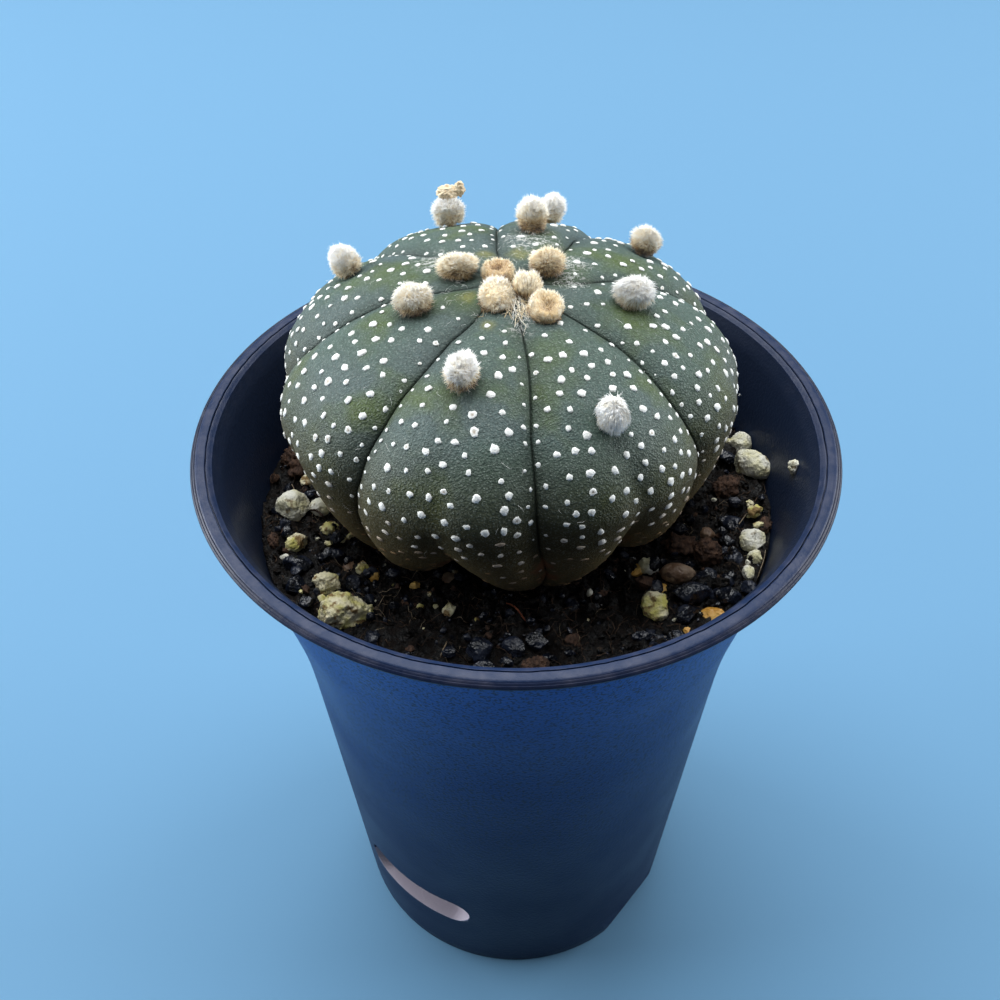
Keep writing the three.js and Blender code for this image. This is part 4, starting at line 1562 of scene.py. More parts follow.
    def loose_hairs(self) -> Piece:
        """Lays fine white hairs on the skin: matted round the crown, and a stray one here and there.

        Returns:
            One piece of all the hairs.
        """
        rng = np.random.default_rng(8)
        form = self.form
        beads = 5
        azimuth, polar = self._hair_starts(rng)
        total = len(azimuth)
        near = np.arange(total) < total - self.stray_hairs
        heading = rng.uniform(0, 2 * math.pi, total)
        stride = np.where(near, 0.17, 0.36) * rng.uniform(0.4, 1.4, total)
        path = np.empty((total, beads, 3))
        for bead in range(beads):
            lift = 0.04 + 0.3 * math.sin(math.pi * bead / (beads - 1)) * rng.uniform(0, 1, total)
            path[:, bead] = form.bare(azimuth, polar) + form.normal(azimuth, polar) * lift[:, None]
            heading += rng.normal(0, 0.5, total)
            polar = np.clip(polar + stride * np.cos(heading) / 20, 0.02, 2.2)
            azimuth = azimuth + stride * np.sin(heading) / (form.radius * np.sin(polar) ** form.shoulder)
        radii = self.hair_radius * np.tile(np.linspace(1.1, 0.7, beads - 1), (total, 1))
        piece = piece_from("loose_skin_hairs", strands(path, radii))
        add_values(piece, "worn_and_shaded", np.zeros(len(piece.data.vertices)))
        return piece

    def build(self, finishes: Finishes) -> None:
        """Builds and settles the pieces.

        Args:
            finishes: The materials.
        """
        settle(self.body(), finishes.skin, ("cactus_body",))
        settle(self.flecks(), finishes.fleck)
        settle(self.loose_hairs(), finishes.fleck)


# The youngest tufts, which have run together: each one's offset from the crown's middle, and its form.
CROWN_TUFTS = (
    ((-1.1, 1.5), Tuft("ring", 11, 0, (3.1, 2.5, 1.7), 0.8, 0.42, Tint.TAN, square=2.6, dimple=0.95,
                       comb=(0, 0, 0.6), wild=0.26, shade=0.4, hair=0.7, hairs=2700, beard_hairs=240)),
    ((-1.4, -3.8), Tuft("flat", 22, 0, (3.4, 2.5, 1.6), 0.8, 0.57, Tint.TAN, square=2.8, comb=(0, 0, 0.2),
                        clump=0.9, wild=0.3, hair=0.85, beard_hairs=420, beard_length=1.2)),
    ((2.6, -2.6), Tuft("spiky", 33, 0, (2.2, 2.0, 1.9), 1.1, 0.5, Tint.TAN, comb=(0, 0, 1.2), clump=1.0,
                       wild=0.26, shade=0.6, hair=1.15, hairs=2200, beard_hairs=200)),
    ((4.9, -6.4), Tuft("drum", 44, 0, (3.1, 2.6, 2.0), 1.1, 0.56, Tint.TAN, square=4.0, dimple=0.85,
                       comb=(0, 0, 0.9), clump=0.4, wild=0.22, shade=0.7, hair=0.8, hairs=3200,
                       beard_hairs=460, beard_length=1.0)),
)
# How far the crown falls away, for each square of the distance from its middle.
CROWN_FALL = 0.012


@dataclass
class Wool:
    """The tufts: a rounded core thick with short hairs, whiter at the tips and browner below."""

    form: StarForm
    core_share: float = 0.72
    hair_radius: float = 0.038
    dimple_width: float = 0.66

    def _surface(self, spec: Tuft, out: Array) -> tuple[Array, Array]:
        """Where a tuft's core lies in each direction.

        Args:
            spec: The tuft's form.
            out: The directions from its middle, as rows of length one.

        Returns:
            The points, and how deep in the dimple each one lies, from 0 to 1.
        """
        flat = reach_of(out)
        reach = (flat**spec.square + np.abs(out[:, 2]) ** spec.square) ** (-1 / spec.square)
        steep = np.arccos(np.clip(out[:, 2], -1, 1))
        sunk = np.exp(-((steep / self.dimple_width) ** 4)) if spec.dimple else np.zeros(len(out))
        swell = 1 + spec.lumps * field_noise(out * 2.4, 1.5, spec.azimuth + 3 * spec.half[0])
        points = out * (swell * reach * (1 - spec.dimple * sunk))[:, None]
        points[:, :2] *= (1 - spec.egg * out[:, 2])[:, None]
        points *= np.array(spec.half) * self.core_share
        points[:, 2] *= np.where(points[:, 2] < 0, (spec.rise + 0.3) / (spec.half[2] * self.core_share), 1)
        return points, sunk

    def tuft(self, spec: Tuft, place: Array, normal: Array, seed: int) -> tuple[Shape, Array]:
        """Grows one tuft.

        Args:
            spec: The tuft's size and habit.
            place: Its middle.
            normal: The direction that it grows in.
            seed: The seed of its draws.

        Returns:
            The tuft's shape, and how pale each of its corners is.
        """
        rng = np.random.default_rng(seed)
        frame = upright(unit(normal + np.array(spec.lean))[None], np.array([0.0]))[0]
        core = ball(4)
        around = unit(core.corners)
        core.corners, sunk = self._surface(spec, around)
        core.corners *= (1 + 0.06 * field_noise(core.corners, 0.6, seed))[:, None]
        # Painted light and shade: the core pales on its upper side and darkens under the coat and in the
        # dimple.
        core_pale_and_light = spec.pale - 0.22 + 0.2 * (around @ (frame.T @ UP)) - 0.45 * sunk
        core_pale_and_light -= spec.shade * np.clip(-around[:, 2], 0, 1)
        coat, coat_pale_and_light = self._coat(spec, frame, seed, rng)
        beard, beard_pale = self._beard(spec, rng)
        shape = joined([core, coat, beard])
        shape.corners = shape.corners @ frame.T + place
        return shape, np.concatenate([core_pale_and_light, coat_pale_and_light, beard_pale])

    def _coat(self, spec: Tuft, frame: Array, seed: int, rng: Draws) -> tuple[Shape, Array]:
        """Grows the short hairs all over a tuft, drawn together in locks.

        Args:
            spec: The tuft's form.
            frame: The turn that sets the tuft on the skin.
            seed: The seed of its locks.
            rng: The seeded stream of draws.

        Returns:
            The hairs, and how pale each of their corners is.
        """
        count = spec.hairs
        height = 1 - 1.8 * (np.arange(count) + rng.uniform(0, 1, count)) / count
        flat = np.sqrt(np.maximum(0, 1 - height**2))
        out = np.column_stack([flat[:, None] * circling(np.arange(count) * GOLDEN), height])
        root, sunk = self._surface(spec, out)
        root *= 0.95
        comb = (0.3 + flat)[:, None] * (frame.T @ np.array(spec.comb))
        clump = spec.clump * swirl(root, 0.55, seed)
        aim = unit(out + clump + comb + rng.normal(0, spec.wild, (count, 3)))
        lock = 1 + 0.3 * field_noise(root, 0.6, seed + 5) + 0.3 * field_noise(root, 1.6, seed + 9)
        reach = spec.hair * (rng.uniform(0.55, 1.15, count) * lock * (1 - 0.85 * sunk))[:, None]
        reach = reach * np.array(spec.half) / np.mean(spec.half)
        middle = root + aim * reach * 0.55
        tip = middle + unit(aim + 0.6 * comb + rng.normal(0, spec.wild * 1.3, (count, 3))) * reach * 0.5
        thick = self.hair_radius * rng.uniform(0.8, 1.2, (count, 1)) * np.array([1.1, 0.85])
        # Painted light and shade: hairs on the upper side and in longer locks are paler, and those in the
        # dimple darker.
        rise = 0.5 * (out @ (frame.T @ UP)) + 0.5 * height
        pale = spec.pale + 0.12 * rise - spec.shade * np.clip(0.12 - rise, 0, 1) + 0.3 * (lock - 1)
        pale += rng.normal(0, 0.1, count) - 0.45 * sunk
        hairs = strands(np.stack([root, middle, tip], axis=1), thick)
        # Own colour and painted shade: each hair darkens towards its root, deep in the coat, and pales at
        # its tip.
        return hairs, spread_along(np.stack([pale - 0.24, pale, pale + 0.12], axis=1))

    def _beard(self, spec: Tuft, rng: Draws) -> tuple[Shape, Array]:
        """Longer brown hairs that spread from under a tuft, most of them to one side.

        Args:
            spec: The tuft's form, with the side that they lean to.
            rng: The seeded stream of draws.

        Returns:
            The hairs, and how pale each of their corners is.
        """
        count = spec.beard_hairs
        out = unit(rng.normal(0, 1, (count, 3)) * np.array([1, 1, 0.4]) + 1.1 * np.array(spec.beard))
        out[:, 2] = np.minimum(out[:, 2], -0.15)
        root = self._surface(spec, unit(out))[0] * 0.85
        matted = 0.9 * swirl(root, 0.5, 40)
        aim = unit(out * np.array([1, 1, 0.55]) + matted + rng.normal(0, 0.16, (count, 3)))
        reach = spec.beard_length * rng.uniform(0.5, 1.1, (count, 1))
        middle = root + aim * reach * 0.6
        tip = middle + unit(aim + rng.normal(0, 0.3, (count, 3)) - np.array([0, 0, 0.3])) * reach * 0.55
        hairs = strands(np.stack([root, middle, tip], axis=1), np.full((count, 2), 0.04))
        pale = rng.uniform(0.02, 0.4, count)
        return hairs, spread_along(np.stack([pale * 0.6, pale, pale + 0.15], axis=1))

    def build(self, finishes: Finishes) -> None:
        """Builds and settles each tuft, and then the crown's.

        Args:
            finishes: The materials.
        """
        form = self.form
        for index, spec in enumerate(TUFTS):
            angles = form.unstrayed(spec.azimuth, spec.polar)
            point, normal = form.bare(*angles)[0], form.normal(*angles)[0]
            shape, pale = self.tuft(spec, point + normal * spec.rise, normal, 100 + index)
            piece = piece_from(spec.name.replace("areole_wool", "tuft"), shape)
            add_values(piece, "pale", np.clip(pale, 0, 1))
            settle(piece, finishes.wool, (spec.name,))
        self._crown(finishes)

    def _crown(self, finishes: Finishes) -> None:
        """Grows the youngest tufts, which have run together over the growing point.

        Args:
            finishes: The materials.
        """
        crown = self.form.crown()
        shapes, pales = [], []
        for index, ((x, y), spec) in enumerate(CROWN_TUFTS):
            place = crown + np.array([x, y, spec.rise - CROWN_FALL * (x * x + y * y)])
            outward = unit(np.array([0.035 * x, 0.035 * y, 1.0]))
            shape, pale = self.tuft(spec, place, outward, 200 + index)
            shapes.append(shape)
            pales.append(pale)
        down, down_pale = self._hanging(crown)
        piece = piece_from("crown_wool_cluster", joined([*shapes, down]))
        add_values(piece, "pale", np.clip(np.concatenate([*pales, down_pale]), 0, 1))
        settle(piece, finishes.wool, ("crown_wool",))

    def _hanging(self, crown: Array) -> tuple[Shape, Array]:
        """Long hairs that spread from the cluster down the front groove.

        Args:
            crown: The top of the plant.

        Returns:
            The hairs, and how pale each of their corners is.
        """
        rng = np.random.default_rng(61)
        count, beads = 110, 5
        start = np.stack([rng.normal(1.6, 1.3, count), rng.normal(-4.6, 1.1, count)], axis=1)
        heading = np.radians(rng.normal(-74, 34, count))
        reach = rng.uniform(1.2, 4.2, count)
        path = np.empty((count, beads, 3))
        for bead in range(beads):
            share = bead / (beads - 1)
            flat = start + circling(heading) * (reach * share)[:, None]
            fall = CROWN_FALL * (flat[:, 0] ** 2 + flat[:, 1] ** 2)
            path[:, bead, :2] = flat
            path[:, bead, 2] = 0.12 + 0.7 * (1 - share) + rng.uniform(0, 0.2, count) - fall
            heading += rng.normal(0, 0.22, count)
        radii = np.tile(np.linspace(0.045, 0.028, beads - 1), (count, 1))
        pale = rng.uniform(0.3, 0.95, (count, 1)) * np.ones((1, beads))
        return strands(path + crown, radii), spread_along(pale)


@dataclass
class DriedFlower:
    """What is left of a flower on the back left tuft: two crumpled lumps of dried petals."""

    form: StarForm
    tuft: str = "areole_wool_back_left"
    height: float = 4.6
    # Each lump's offset and half sizes.
    lumps: tuple[tuple[Triple, Triple], ...] = (
        ((0.3, 0, 0), (1.7, 1.4, 1.05)), ((2.1, 0, 0.6), (0.8, 0.8, 1.25)),
    )
    crumple: float = 0.42

    def build(self, finishes: Finishes) -> None:
        """Builds and settles the flower.

        Args:
            finishes: The materials.
        """
        spec = next(tuft for tuft in TUFTS if tuft.name == self.tuft)
        angles = self.form.unstrayed(spec.azimuth, spec.polar)
        base = self.form.bare(*angles)[0] + self.form.normal(*angles)[0] * self.height
        shapes = [self._lump(base + np.array(offset), np.array(size)) for offset, size in self.lumps]
        piece = piece_from("dried_flower_remnant", joined(shapes))
        settle(piece, finishes.petal, ("dried_bud",))

    def _lump(self, middle: Array, half: Array) -> Shape:
        """Models one crumpled lump of petals.

        Args:
            middle: Where it is.
            half: Its half sizes.

        Returns:
            The lump's shape.
        """
        lump = ball(5)
        folds = np.abs(field_noise(lump.corners * half, 0.6, half[0])) - 0.25
        fine = field_noise(lump.corners * half, 0.28, 4)
        lump.corners *= (0.95 + self.crumple * folds + 0.05 * fine)[:, None] * half
        lump.corners += middle
        return lump


# The pot


@dataclass
class Pot:
    """The flaring pot with its flat rim, two ledged drainage pockets and two notches at the foot."""

    height: float = 112.0
    rim_radius: float = 45.0
    mouth_radius: float = 42.0
    foot_radius: float = 30.9
    foot_ring: float = 2.4
    wall: float = 1.0
    floor_low: float = 3.0
    floor_top: float = 4.2
    lower_taper: float = 0.054
    flare_start: float = 79.0
    flare_taper: float = 0.155
    flare_bend: float = 4.0
    rim_thickness: float = 1.6
    steps: int = 256
    # The pockets' lower and upper height, their depth, and half their width in degrees.
    pocket: tuple[float, float, float, float] = (16.0, 24.0, 3.0, 21.0)
    pocket_round: float = 7.0
    pocket_azimuths: Pair = (-127.0, 53.0)
    notch_height: float = 7.0
    notch_half: float = 17.0
    notch_azimuths: Pair = (-41.0, 139.0)
    crack_radius: float = 42.95
    # The rim's edge, in from its radius and up from its underside.
    bead: Pairs = (
        (1.2, 0), (0.75, 0.12), (0.35, 0.4), (0.08, 0.72), (0, 1.0), (0.1, 1.2), (0.22, 1.31),
        (0.33, 1.27), (0.42, 1.38), (0.55, 1.45), (0.66, 1.4), (0.75, 1.5),
    )
    # The trimmed edge along the rim, out from the crack's radius and down from the top.
    trim: Pairs = ((0.12, 0.03), (0.03, 0.1), (0, 0.5), (-0.12, 0.5), (-0.16, 0.12), (-0.3, 0.14))
    # The way down into the pot, out from the mouth's radius and down from the top.
    throat: Pairs = ((0.35, 0.38), (0.08, 0.52), (-0.05, 0.75), (-0.25, 1.2), (-0.75, 2.0), (-1.2, 3.2))
    # Edges sharper than this, in degrees, stay sharp.
    sharp_angle: float = 32.0

    def outer(self, height: float) -> float:
        """Radius of the outside at a height."""
        collar = self.flare_bend * math.log(1 + math.exp((height - self.flare_start) / self.flare_bend))
        return self.foot_radius + self.lower_taper * height + self.flare_taper * collar

    def _outline(self) -> list[Pair]:
        """The section from the middle of the underside, up the outside, over the rim and down inside.

        Returns:
            Each point's radius and height.
        """
        top, rim = self.height, self.rim_radius
        under = top - self.rim_thickness
        ring = self.foot_radius - 0.4
        heights = [float(height) for height in np.arange(3, 109, 3)]
        outside = [(self.outer(height), height) for height in heights]
        inside = [(self.outer(height) - self.wall, height) for height in reversed(heights[1:-1])]
        return [
            (0, self.floor_low), (ring - self.foot_ring - 0.5, self.floor_low),
            (ring - self.foot_ring - 0.15, 0.4), (ring - self.foot_ring, 0), (ring - 0.15, 0),
            (ring + 0.15, 0.1), (self.foot_radius, 0.5), *outside, (self.outer(under - 0.5), under - 0.5),
            (self.outer(under) + 0.25, under - 0.1), (self.outer(under) + 0.7, under),
            *((rim - inwards, under + up) for inwards, up in self.bead),
            (rim - 0.95, top - 0.02), (rim - 1.3, top),
            *((self.crack_radius + out, top - down) for out, down in self.trim),
            *((self.mouth_radius + out, top - down) for out, down in self.throat), *inside,
            (self.outer(self.floor_top) - self.wall - 0.6, self.floor_top), (0, self.floor_top),
        ]

    def _roughen_rim(self, piece: Piece) -> None:
        """Makes the trimmed edge along the rim ragged, as such rims are.

        Args:
            piece: The pot.
        """
        corners = corners_of(piece)
        radius = reach_of(corners)
        circle = np.column_stack([circling(angles_of(corners)), np.zeros(len(corners))]) * self.rim_radius
        near = (np.abs(radius - self.crack_radius) < 0.18) & (corners[:, 2] > self.height - 1)
        wander = 0.07 * field_noise(circle, 4.0, 1) + 0.07 * field_noise(circle, 0.9, 2)
        depth = 0.16 * field_noise(circle, 2.2, 5) + 0.1 * field_noise(circle, 0.8, 6)
        corners[near, :2] *= (1 + wander[near] / radius[near])[:, None]
        deep = near & (corners[:, 2] < self.height - 0.3)
        corners[deep, 2] += depth[deep]
        edge = (radius > self.rim_radius - 0.3) & (corners[:, 2] < self.height - 1.1)
        corners[edge, 2] += 0.06 * field_noise(circle[edge], 0.8, 7)
        set_corners(piece, corners)

    def _bent_block(
        self, name: str, half: float, heights: Pair, radii: Pair,
        azimuth: float, round_end: float = 0.0
    ) -> Piece:
        """Models a block that is bent round the pot's axis.

        Args:
            name: The block's name.
            half: How far it reaches to either side, in degrees.
            heights: Its lower and upper height.
            radii: Its inner and outer radius.
            azimuth: Where its middle is, in degrees.
            round_end: Over how many degrees its ends are round, or 0.

        Returns:
            The block.
        """
        sections = 28
        deselect_all()
        bpy.ops.mesh.primitive_cube_add(size=1)
        block = bpy.context.object
        block.name = name
        with all_in_edit(block):
            for step in range(1, sections):
                bpy.ops.mesh.select_all(action="SELECT")
                bpy.ops.mesh.bisect(plane_co=(0, step / sections - 0.5, 0), plane_no=(0, 1, 0))
        unit_corners = corners_of(block) * MM
        share = -np.cos(math.pi * (unit_corners[:, 1] + 0.5))
        angle = np.radians(azimuth + half * share)
        past = np.maximum(0, np.abs(half * share) - (half - round_end))
        shrink = np.sqrt(np.maximum(0.02, 1 - (past / round_end) ** 2)) if round_end else np.ones(len(share))
        radius = np.where(unit_corners[:, 0] > 0, radii[1], radii[0])
        low, high = heights
        height = (low + high) / 2 + np.sign(unit_corners[:, 2]) * (high - low) / 2 * shrink
        set_corners(block, np.column_stack([radius[:, None] * circling(angle), height]))
        with all_in_edit(block):
            bpy.ops.mesh.normals_make_consistent(inside=False)
        return block

    def _combine(self, piece: Piece, tool: Piece, operation: str) -> None:
        """Works a tool into a piece, and removes the tool.

        Args:
            piece: The piece.
            tool: The form that it takes on or loses.
            operation: UNION to join the tool to it, or DIFFERENCE to cut the tool away.
        """
        modifier = piece.modifiers.new(operation.lower(), "BOOLEAN")
        modifier.operation = operation
        modifier.solver = "EXACT"
        modifier.object = tool
        apply_modifiers(piece)
        bpy.data.objects.remove(tool)

    def _cut_foot(self, piece: Piece) -> None:
        """Forms the pockets and the notches.

        Args:
            piece: The pot.
        """
        low, high, depth, half = self.pocket
        middle = self.outer((low + high) / 2) - self.wall / 2
        back = middle - depth
        for azimuth in self.pocket_azimuths:
            around, radii = (low - self.wall, high + self.wall), (back - self.wall / 2, middle)
            backing = self._bent_block("pocket_backing", half + 3, around, radii, azimuth)
            self._combine(piece, backing, "UNION")
            radii = (back + self.wall / 2, middle + depth)
            hollow = self._bent_block("pocket_hollow", half, (low, high), radii, azimuth, self.pocket_round)
            self._combine(piece, hollow, "DIFFERENCE")
        reach, notch = self.outer(self.notch_height), math.radians(self.notch_half)
        size = np.array([6, 2 * reach * math.sin(notch) + 6, self.notch_height + 2])
        centre = np.array([reach * math.cos(notch) + 3, 0, self.notch_height / 2 - 1])
        for azimuth in self.notch_azimuths:
            deselect_all()
            bpy.ops.mesh.primitive_cube_add(size=1)
            box = bpy.context.object
            set_corners(box, (corners_of(box) * MM * size + centre) @ about_z(azimuth))
            self._combine(piece, box, "DIFFERENCE")

    def _values(self, piece: Piece) -> None:
        """Marks the rim, the inner wall and rim edge in painted shade, and the dusty ledges, for the
        material.

        Args:
            piece: The pot.
        """
        corners = corners_of(piece)
        radius, height = reach_of(corners), corners[:, 2]
        outside = np.array([self.outer(value) for value in height])
        down = self.height - height
        rim = (down < 1.7) & (radius > self.mouth_radius - 0.3)
        add_values(piece, "rim", rim.astype(float))
        # Painted shade: the inner wall is marked for the darker tone that stands in for the shade inside the
        # pot.
        slope = (down < 1.3) & (radius < self.mouth_radius)
        inner = ((radius < outside - 0.15) | slope) & (height > 6) & (down > 0.7)
        add_values(piece, "inner", inner.astype(float))
        low, high, depth, half = self.pocket
        ledge = np.zeros(len(corners))
        for azimuth in self.pocket_azimuths:
            turned = turned_from(corners, azimuth)
            within = (turned < half + 0.3) & (radius > outside - depth - 0.4)
            past = np.clip((turned - half) / self.pocket_round + 1, 0, 1)
            lip = (low + high) / 2 - (high - low) / 2 * np.sqrt(np.maximum(0.02, 1 - past**2))
            ledge = np.maximum(ledge, within & (np.abs(height - lip) < 0.35))
        add_values(piece, "ledge", ledge)
        # Painted shade: the rim's outer lower edge is marked for a near-black tone.
        shaded_rim_edge = (radius > self.rim_radius - 1.3) & (down > 0.12) & (down < 1.8)
        add_values(piece, "edge", shaded_rim_edge.astype(float))

    def build(self, finishes: Finishes) -> None:
        """Builds and settles the pot.

        Args:
            finishes: The materials.
        """
        piece = spun("pot_moulding", self._outline(), self.steps)
        self._roughen_rim(piece)
        self._cut_foot(piece)
        make_active(piece)
        bpy.ops.object.shade_smooth_by_angle(angle=math.radians(self.sharp_angle))
        self._values(piece)
        settle(piece, finishes.plastic, ("pot",))


# The soil and what lies on it


@dataclass(frozen=True)
class Stone:
    """A loose stone or bit.

    Its node, place, half sizes, turn about Z in degrees and kind, and how far its middle lies above the
    soil, as a share of its half height.
    """

    name: str
    at: Pair
    half: Triple
    turn: float
    kind: Kind
    rise: float = 0.3


STONES = (
    Stone("pumice_yellow_large", (-23.7, -22.5), (3.1, 2.8, 2.7), 20, Kind.PUMICE_YELLOW),
    Stone("pumice_white_left", (-33.2, -1.8), (2.3, 2.3, 2.2), -30, Kind.PUMICE_WHITE),
    Stone("pumice_white_behind", (-29.0, -1.6), (1.6, 1.5, 1.4), 10, Kind.PUMICE_WHITE),
    Stone("pumice_chip_left", (-31.9, -9.0), (1.8, 1.3, 1.2), 10, Kind.PUMICE_YELLOW),
    Stone("pebble_green_round", (-26.4, -17.1), (2.0, 1.8, 1.8), 0, Kind.PUMICE_YELLOW),
    Stone("pebble_left_upper", (-30.7, -13.1), (2.4, 1.4, 1.3), -8, Kind.PEBBLE_BLACK),
    Stone("pebble_left_lower", (-30.7, -17.1), (1.6, 1.3, 1.4), 50, Kind.PEBBLE_BLACK),
    Stone("pebble_left_inner", (-22.9, -16.8), (1.2, 1.3, 1.4), 25, Kind.PEBBLE_BLACK),
    Stone("bark_chip_left", (-35.2, -8.4), (0.7, 1.5, 0.9), 15, Kind.BARK),
    Stone("bark_lump_far_left", (-34.4, 9.6), (1.9, 2.3, 1.3), -20, Kind.BARK),
    Stone("pumice_white_oval", (36.3, 4.1), (2.9, 1.8, 2.3), -38, Kind.PUMICE_WHITE, 1.0),
    Stone("pumice_cream", (35.5, 9.7), (1.7, 1.6, 1.9), -50, Kind.PUMICE_WHITE, 0.9),
    Stone("pumice_crumbly", (34.1, -9.9), (1.9, 1.7, 1.6), 0, Kind.PUMICE_WHITE),
    Stone("pumice_small_upper", (34.0, -12.9), (1.1, 1.0, 1.0), 20, Kind.PUMICE_WHITE),
    Stone("pumice_small_lower", (32.5, -15.7), (0.8, 1.2, 0.9), -10, Kind.PUMICE_WHITE),
    Stone("bark_lump_right", (32.6, 1.2), (2.3, 2.0, 1.5), 10, Kind.BARK),
    Stone("peat_lump_right", (27.3, -12.0), (2.0, 1.8, 1.7), -25, Kind.BARK),
    Stone("pebble_right_upper", (32.0, -6.3), (1.5, 1.6, 1.2), 0, Kind.PEBBLE_BLACK),
    Stone("pebble_brown_smooth", (22.6, -15.8), (2.3, 1.4, 1.4), -5, Kind.PEBBLE_BROWN),
    Stone("pebble_black_large", (23.8, -19.5), (2.9, 1.6, 1.4), 3, Kind.PEBBLE_BLACK),
    Stone("pebble_right_lower", (22.9, -23.1), (1.7, 1.3, 1.3), 20, Kind.PEBBLE_BLACK),
    Stone("pebble_black_far_right", (29.0, -20.2), (1.7, 1.4, 1.3), -30, Kind.PEBBLE_BLACK),
    Stone("pebble_amber", (26.7, -23.3), (1.8, 1.2, 1.2), -20, Kind.PEBBLE_AMBER),
    Stone("pumice_green", (18.8, -21.8), (1.9, 2.0, 2.0), 12, Kind.PUMICE_YELLOW),
    Stone("pebble_black_front_left", (-5.2, -28.7), (2.0, 1.8, 1.6), 5, Kind.PEBBLE_BLACK),
    Stone("pebble_black_front", (-0.8, -28.5), (1.5, 1.5, 1.4), 40, Kind.PEBBLE_BLACK),
    Stone("pebble_black_front_right", (2.5, -27.4), (1.2, 1.5, 1.3), 70, Kind.PEBBLE_BLACK),
    Stone("bark_chip_front", (2.0, -31.2), (1.8, 1.1, 0.9), 15, Kind.BARK),
)

# Small bits that are not nodes, by kind: the place, the half sizes and the turn of each.
BITS = {
    Kind.PUMICE_WHITE: (
        ((-33.2, -11.5), (0.6, 0.5, 0.5), 0), ((18.7, -14.0), (1.3, 1.2, 1.0), 0),
    ),
    Kind.PUMICE_YELLOW: (
        ((-27.3, -6.2), (1.3, 1.1, 0.9), 20), ((-21.8, -14.2), (0.9, 1.0, 0.8), 40),
        ((-31.7, 4.2), (1.1, 1.1, 0.9), 15), ((34.0, 13.1), (0.7, 0.7, 0.6), 0),
        ((34.8, -3.1), (0.6, 0.6, 0.5), 0), ((35.0, -5.1), (1.2, 1.0, 0.8), 30),
        ((-20.6, -21.7), (1.1, 1.0, 0.8), 30),
    ),
    Kind.PEBBLE_BLACK: (
        ((-17.3, -15.6), (1.0, 0.9, 0.8), 0), ((-30.7, 1.6), (1.3, 0.7, 0.7), 10),
        ((-9.2, -29.3), (0.9, 1.0, 0.8), 0), ((33.0, 6.8), (1.2, 1.4, 1.0), 20),
        ((32.5, -3.2), (1.1, 0.7, 0.7), -10), ((30.5, -9.9), (1.3, 0.9, 0.8), 0),
        ((31.2, -12.8), (1.2, 1.0, 0.9), 40), ((30.0, -15.9), (1.0, 1.0, 0.8), 0),
        ((27.1, -15.8), (1.5, 1.2, 0.9), 10), ((32.2, -18.4), (1.1, 1.1, 0.9), 0),
        ((18.5, -26.2), (1.7, 1.0, 0.8), 0), ((15.8, -26.5), (0.8, 0.8, 0.7), 0),
        ((-4.3, -31.2), (1.5, 0.8, 0.5), 0), ((-27.0, -11.5), (1.5, 1.1, 1.0), 30),
        ((-25.8, -9.4), (1.1, 1.0, 0.9), 0), ((-28.6, -20.6), (1.2, 1.0, 0.9), 15),
        ((-19.4, -26.2), (1.4, 1.2, 1.0), 0), ((26.4, -26.3), (1.1, 0.9, 0.8), 0),
        ((31.8, -17.0), (0.9, 0.9, 0.7), 0), ((27.4, -19.8), (1.0, 0.8, 0.9), 0),
        ((-33.9, -5.1), (0.8, 0.7, 0.6), 0),
    ),
    Kind.PEBBLE_BROWN: (
        ((-23.9, -13.0), (0.8, 1.3, 0.4), 10), ((27.8, -8.1), (1.0, 1.0, 0.8), 0),
        ((-9.5, -15.8), (1.0, 1.0, 0.6), 0),
    ),
    Kind.PEBBLE_AMBER: (
        ((-20.1, -15.0), (0.9, 1.1, 0.7), 0), ((19.6, -17.9), (1.2, 1.0, 0.8), 0),
        ((16.9, -14.7), (0.9, 1.3, 0.6), -20), ((22.9, -25.8), (1.0, 0.6, 0.5), -20),
        ((-14.2, -17.1), (0.7, 0.6, 0.5), 0),
    ),
    Kind.BARK: (
        ((-33.7, -6.4), (0.9, 0.7, 0.6), 30), ((-33.3, 7.2), (1.7, 2.0, 1.2), 0),
        ((36.3, -7.1), (1.5, 0.9, 0.6), 75), ((23.5, -10.8), (2.1, 1.6, 1.1), 15),
        ((11.4, -18.8), (1.4, 0.6, 0.4), 15),
    ),
}


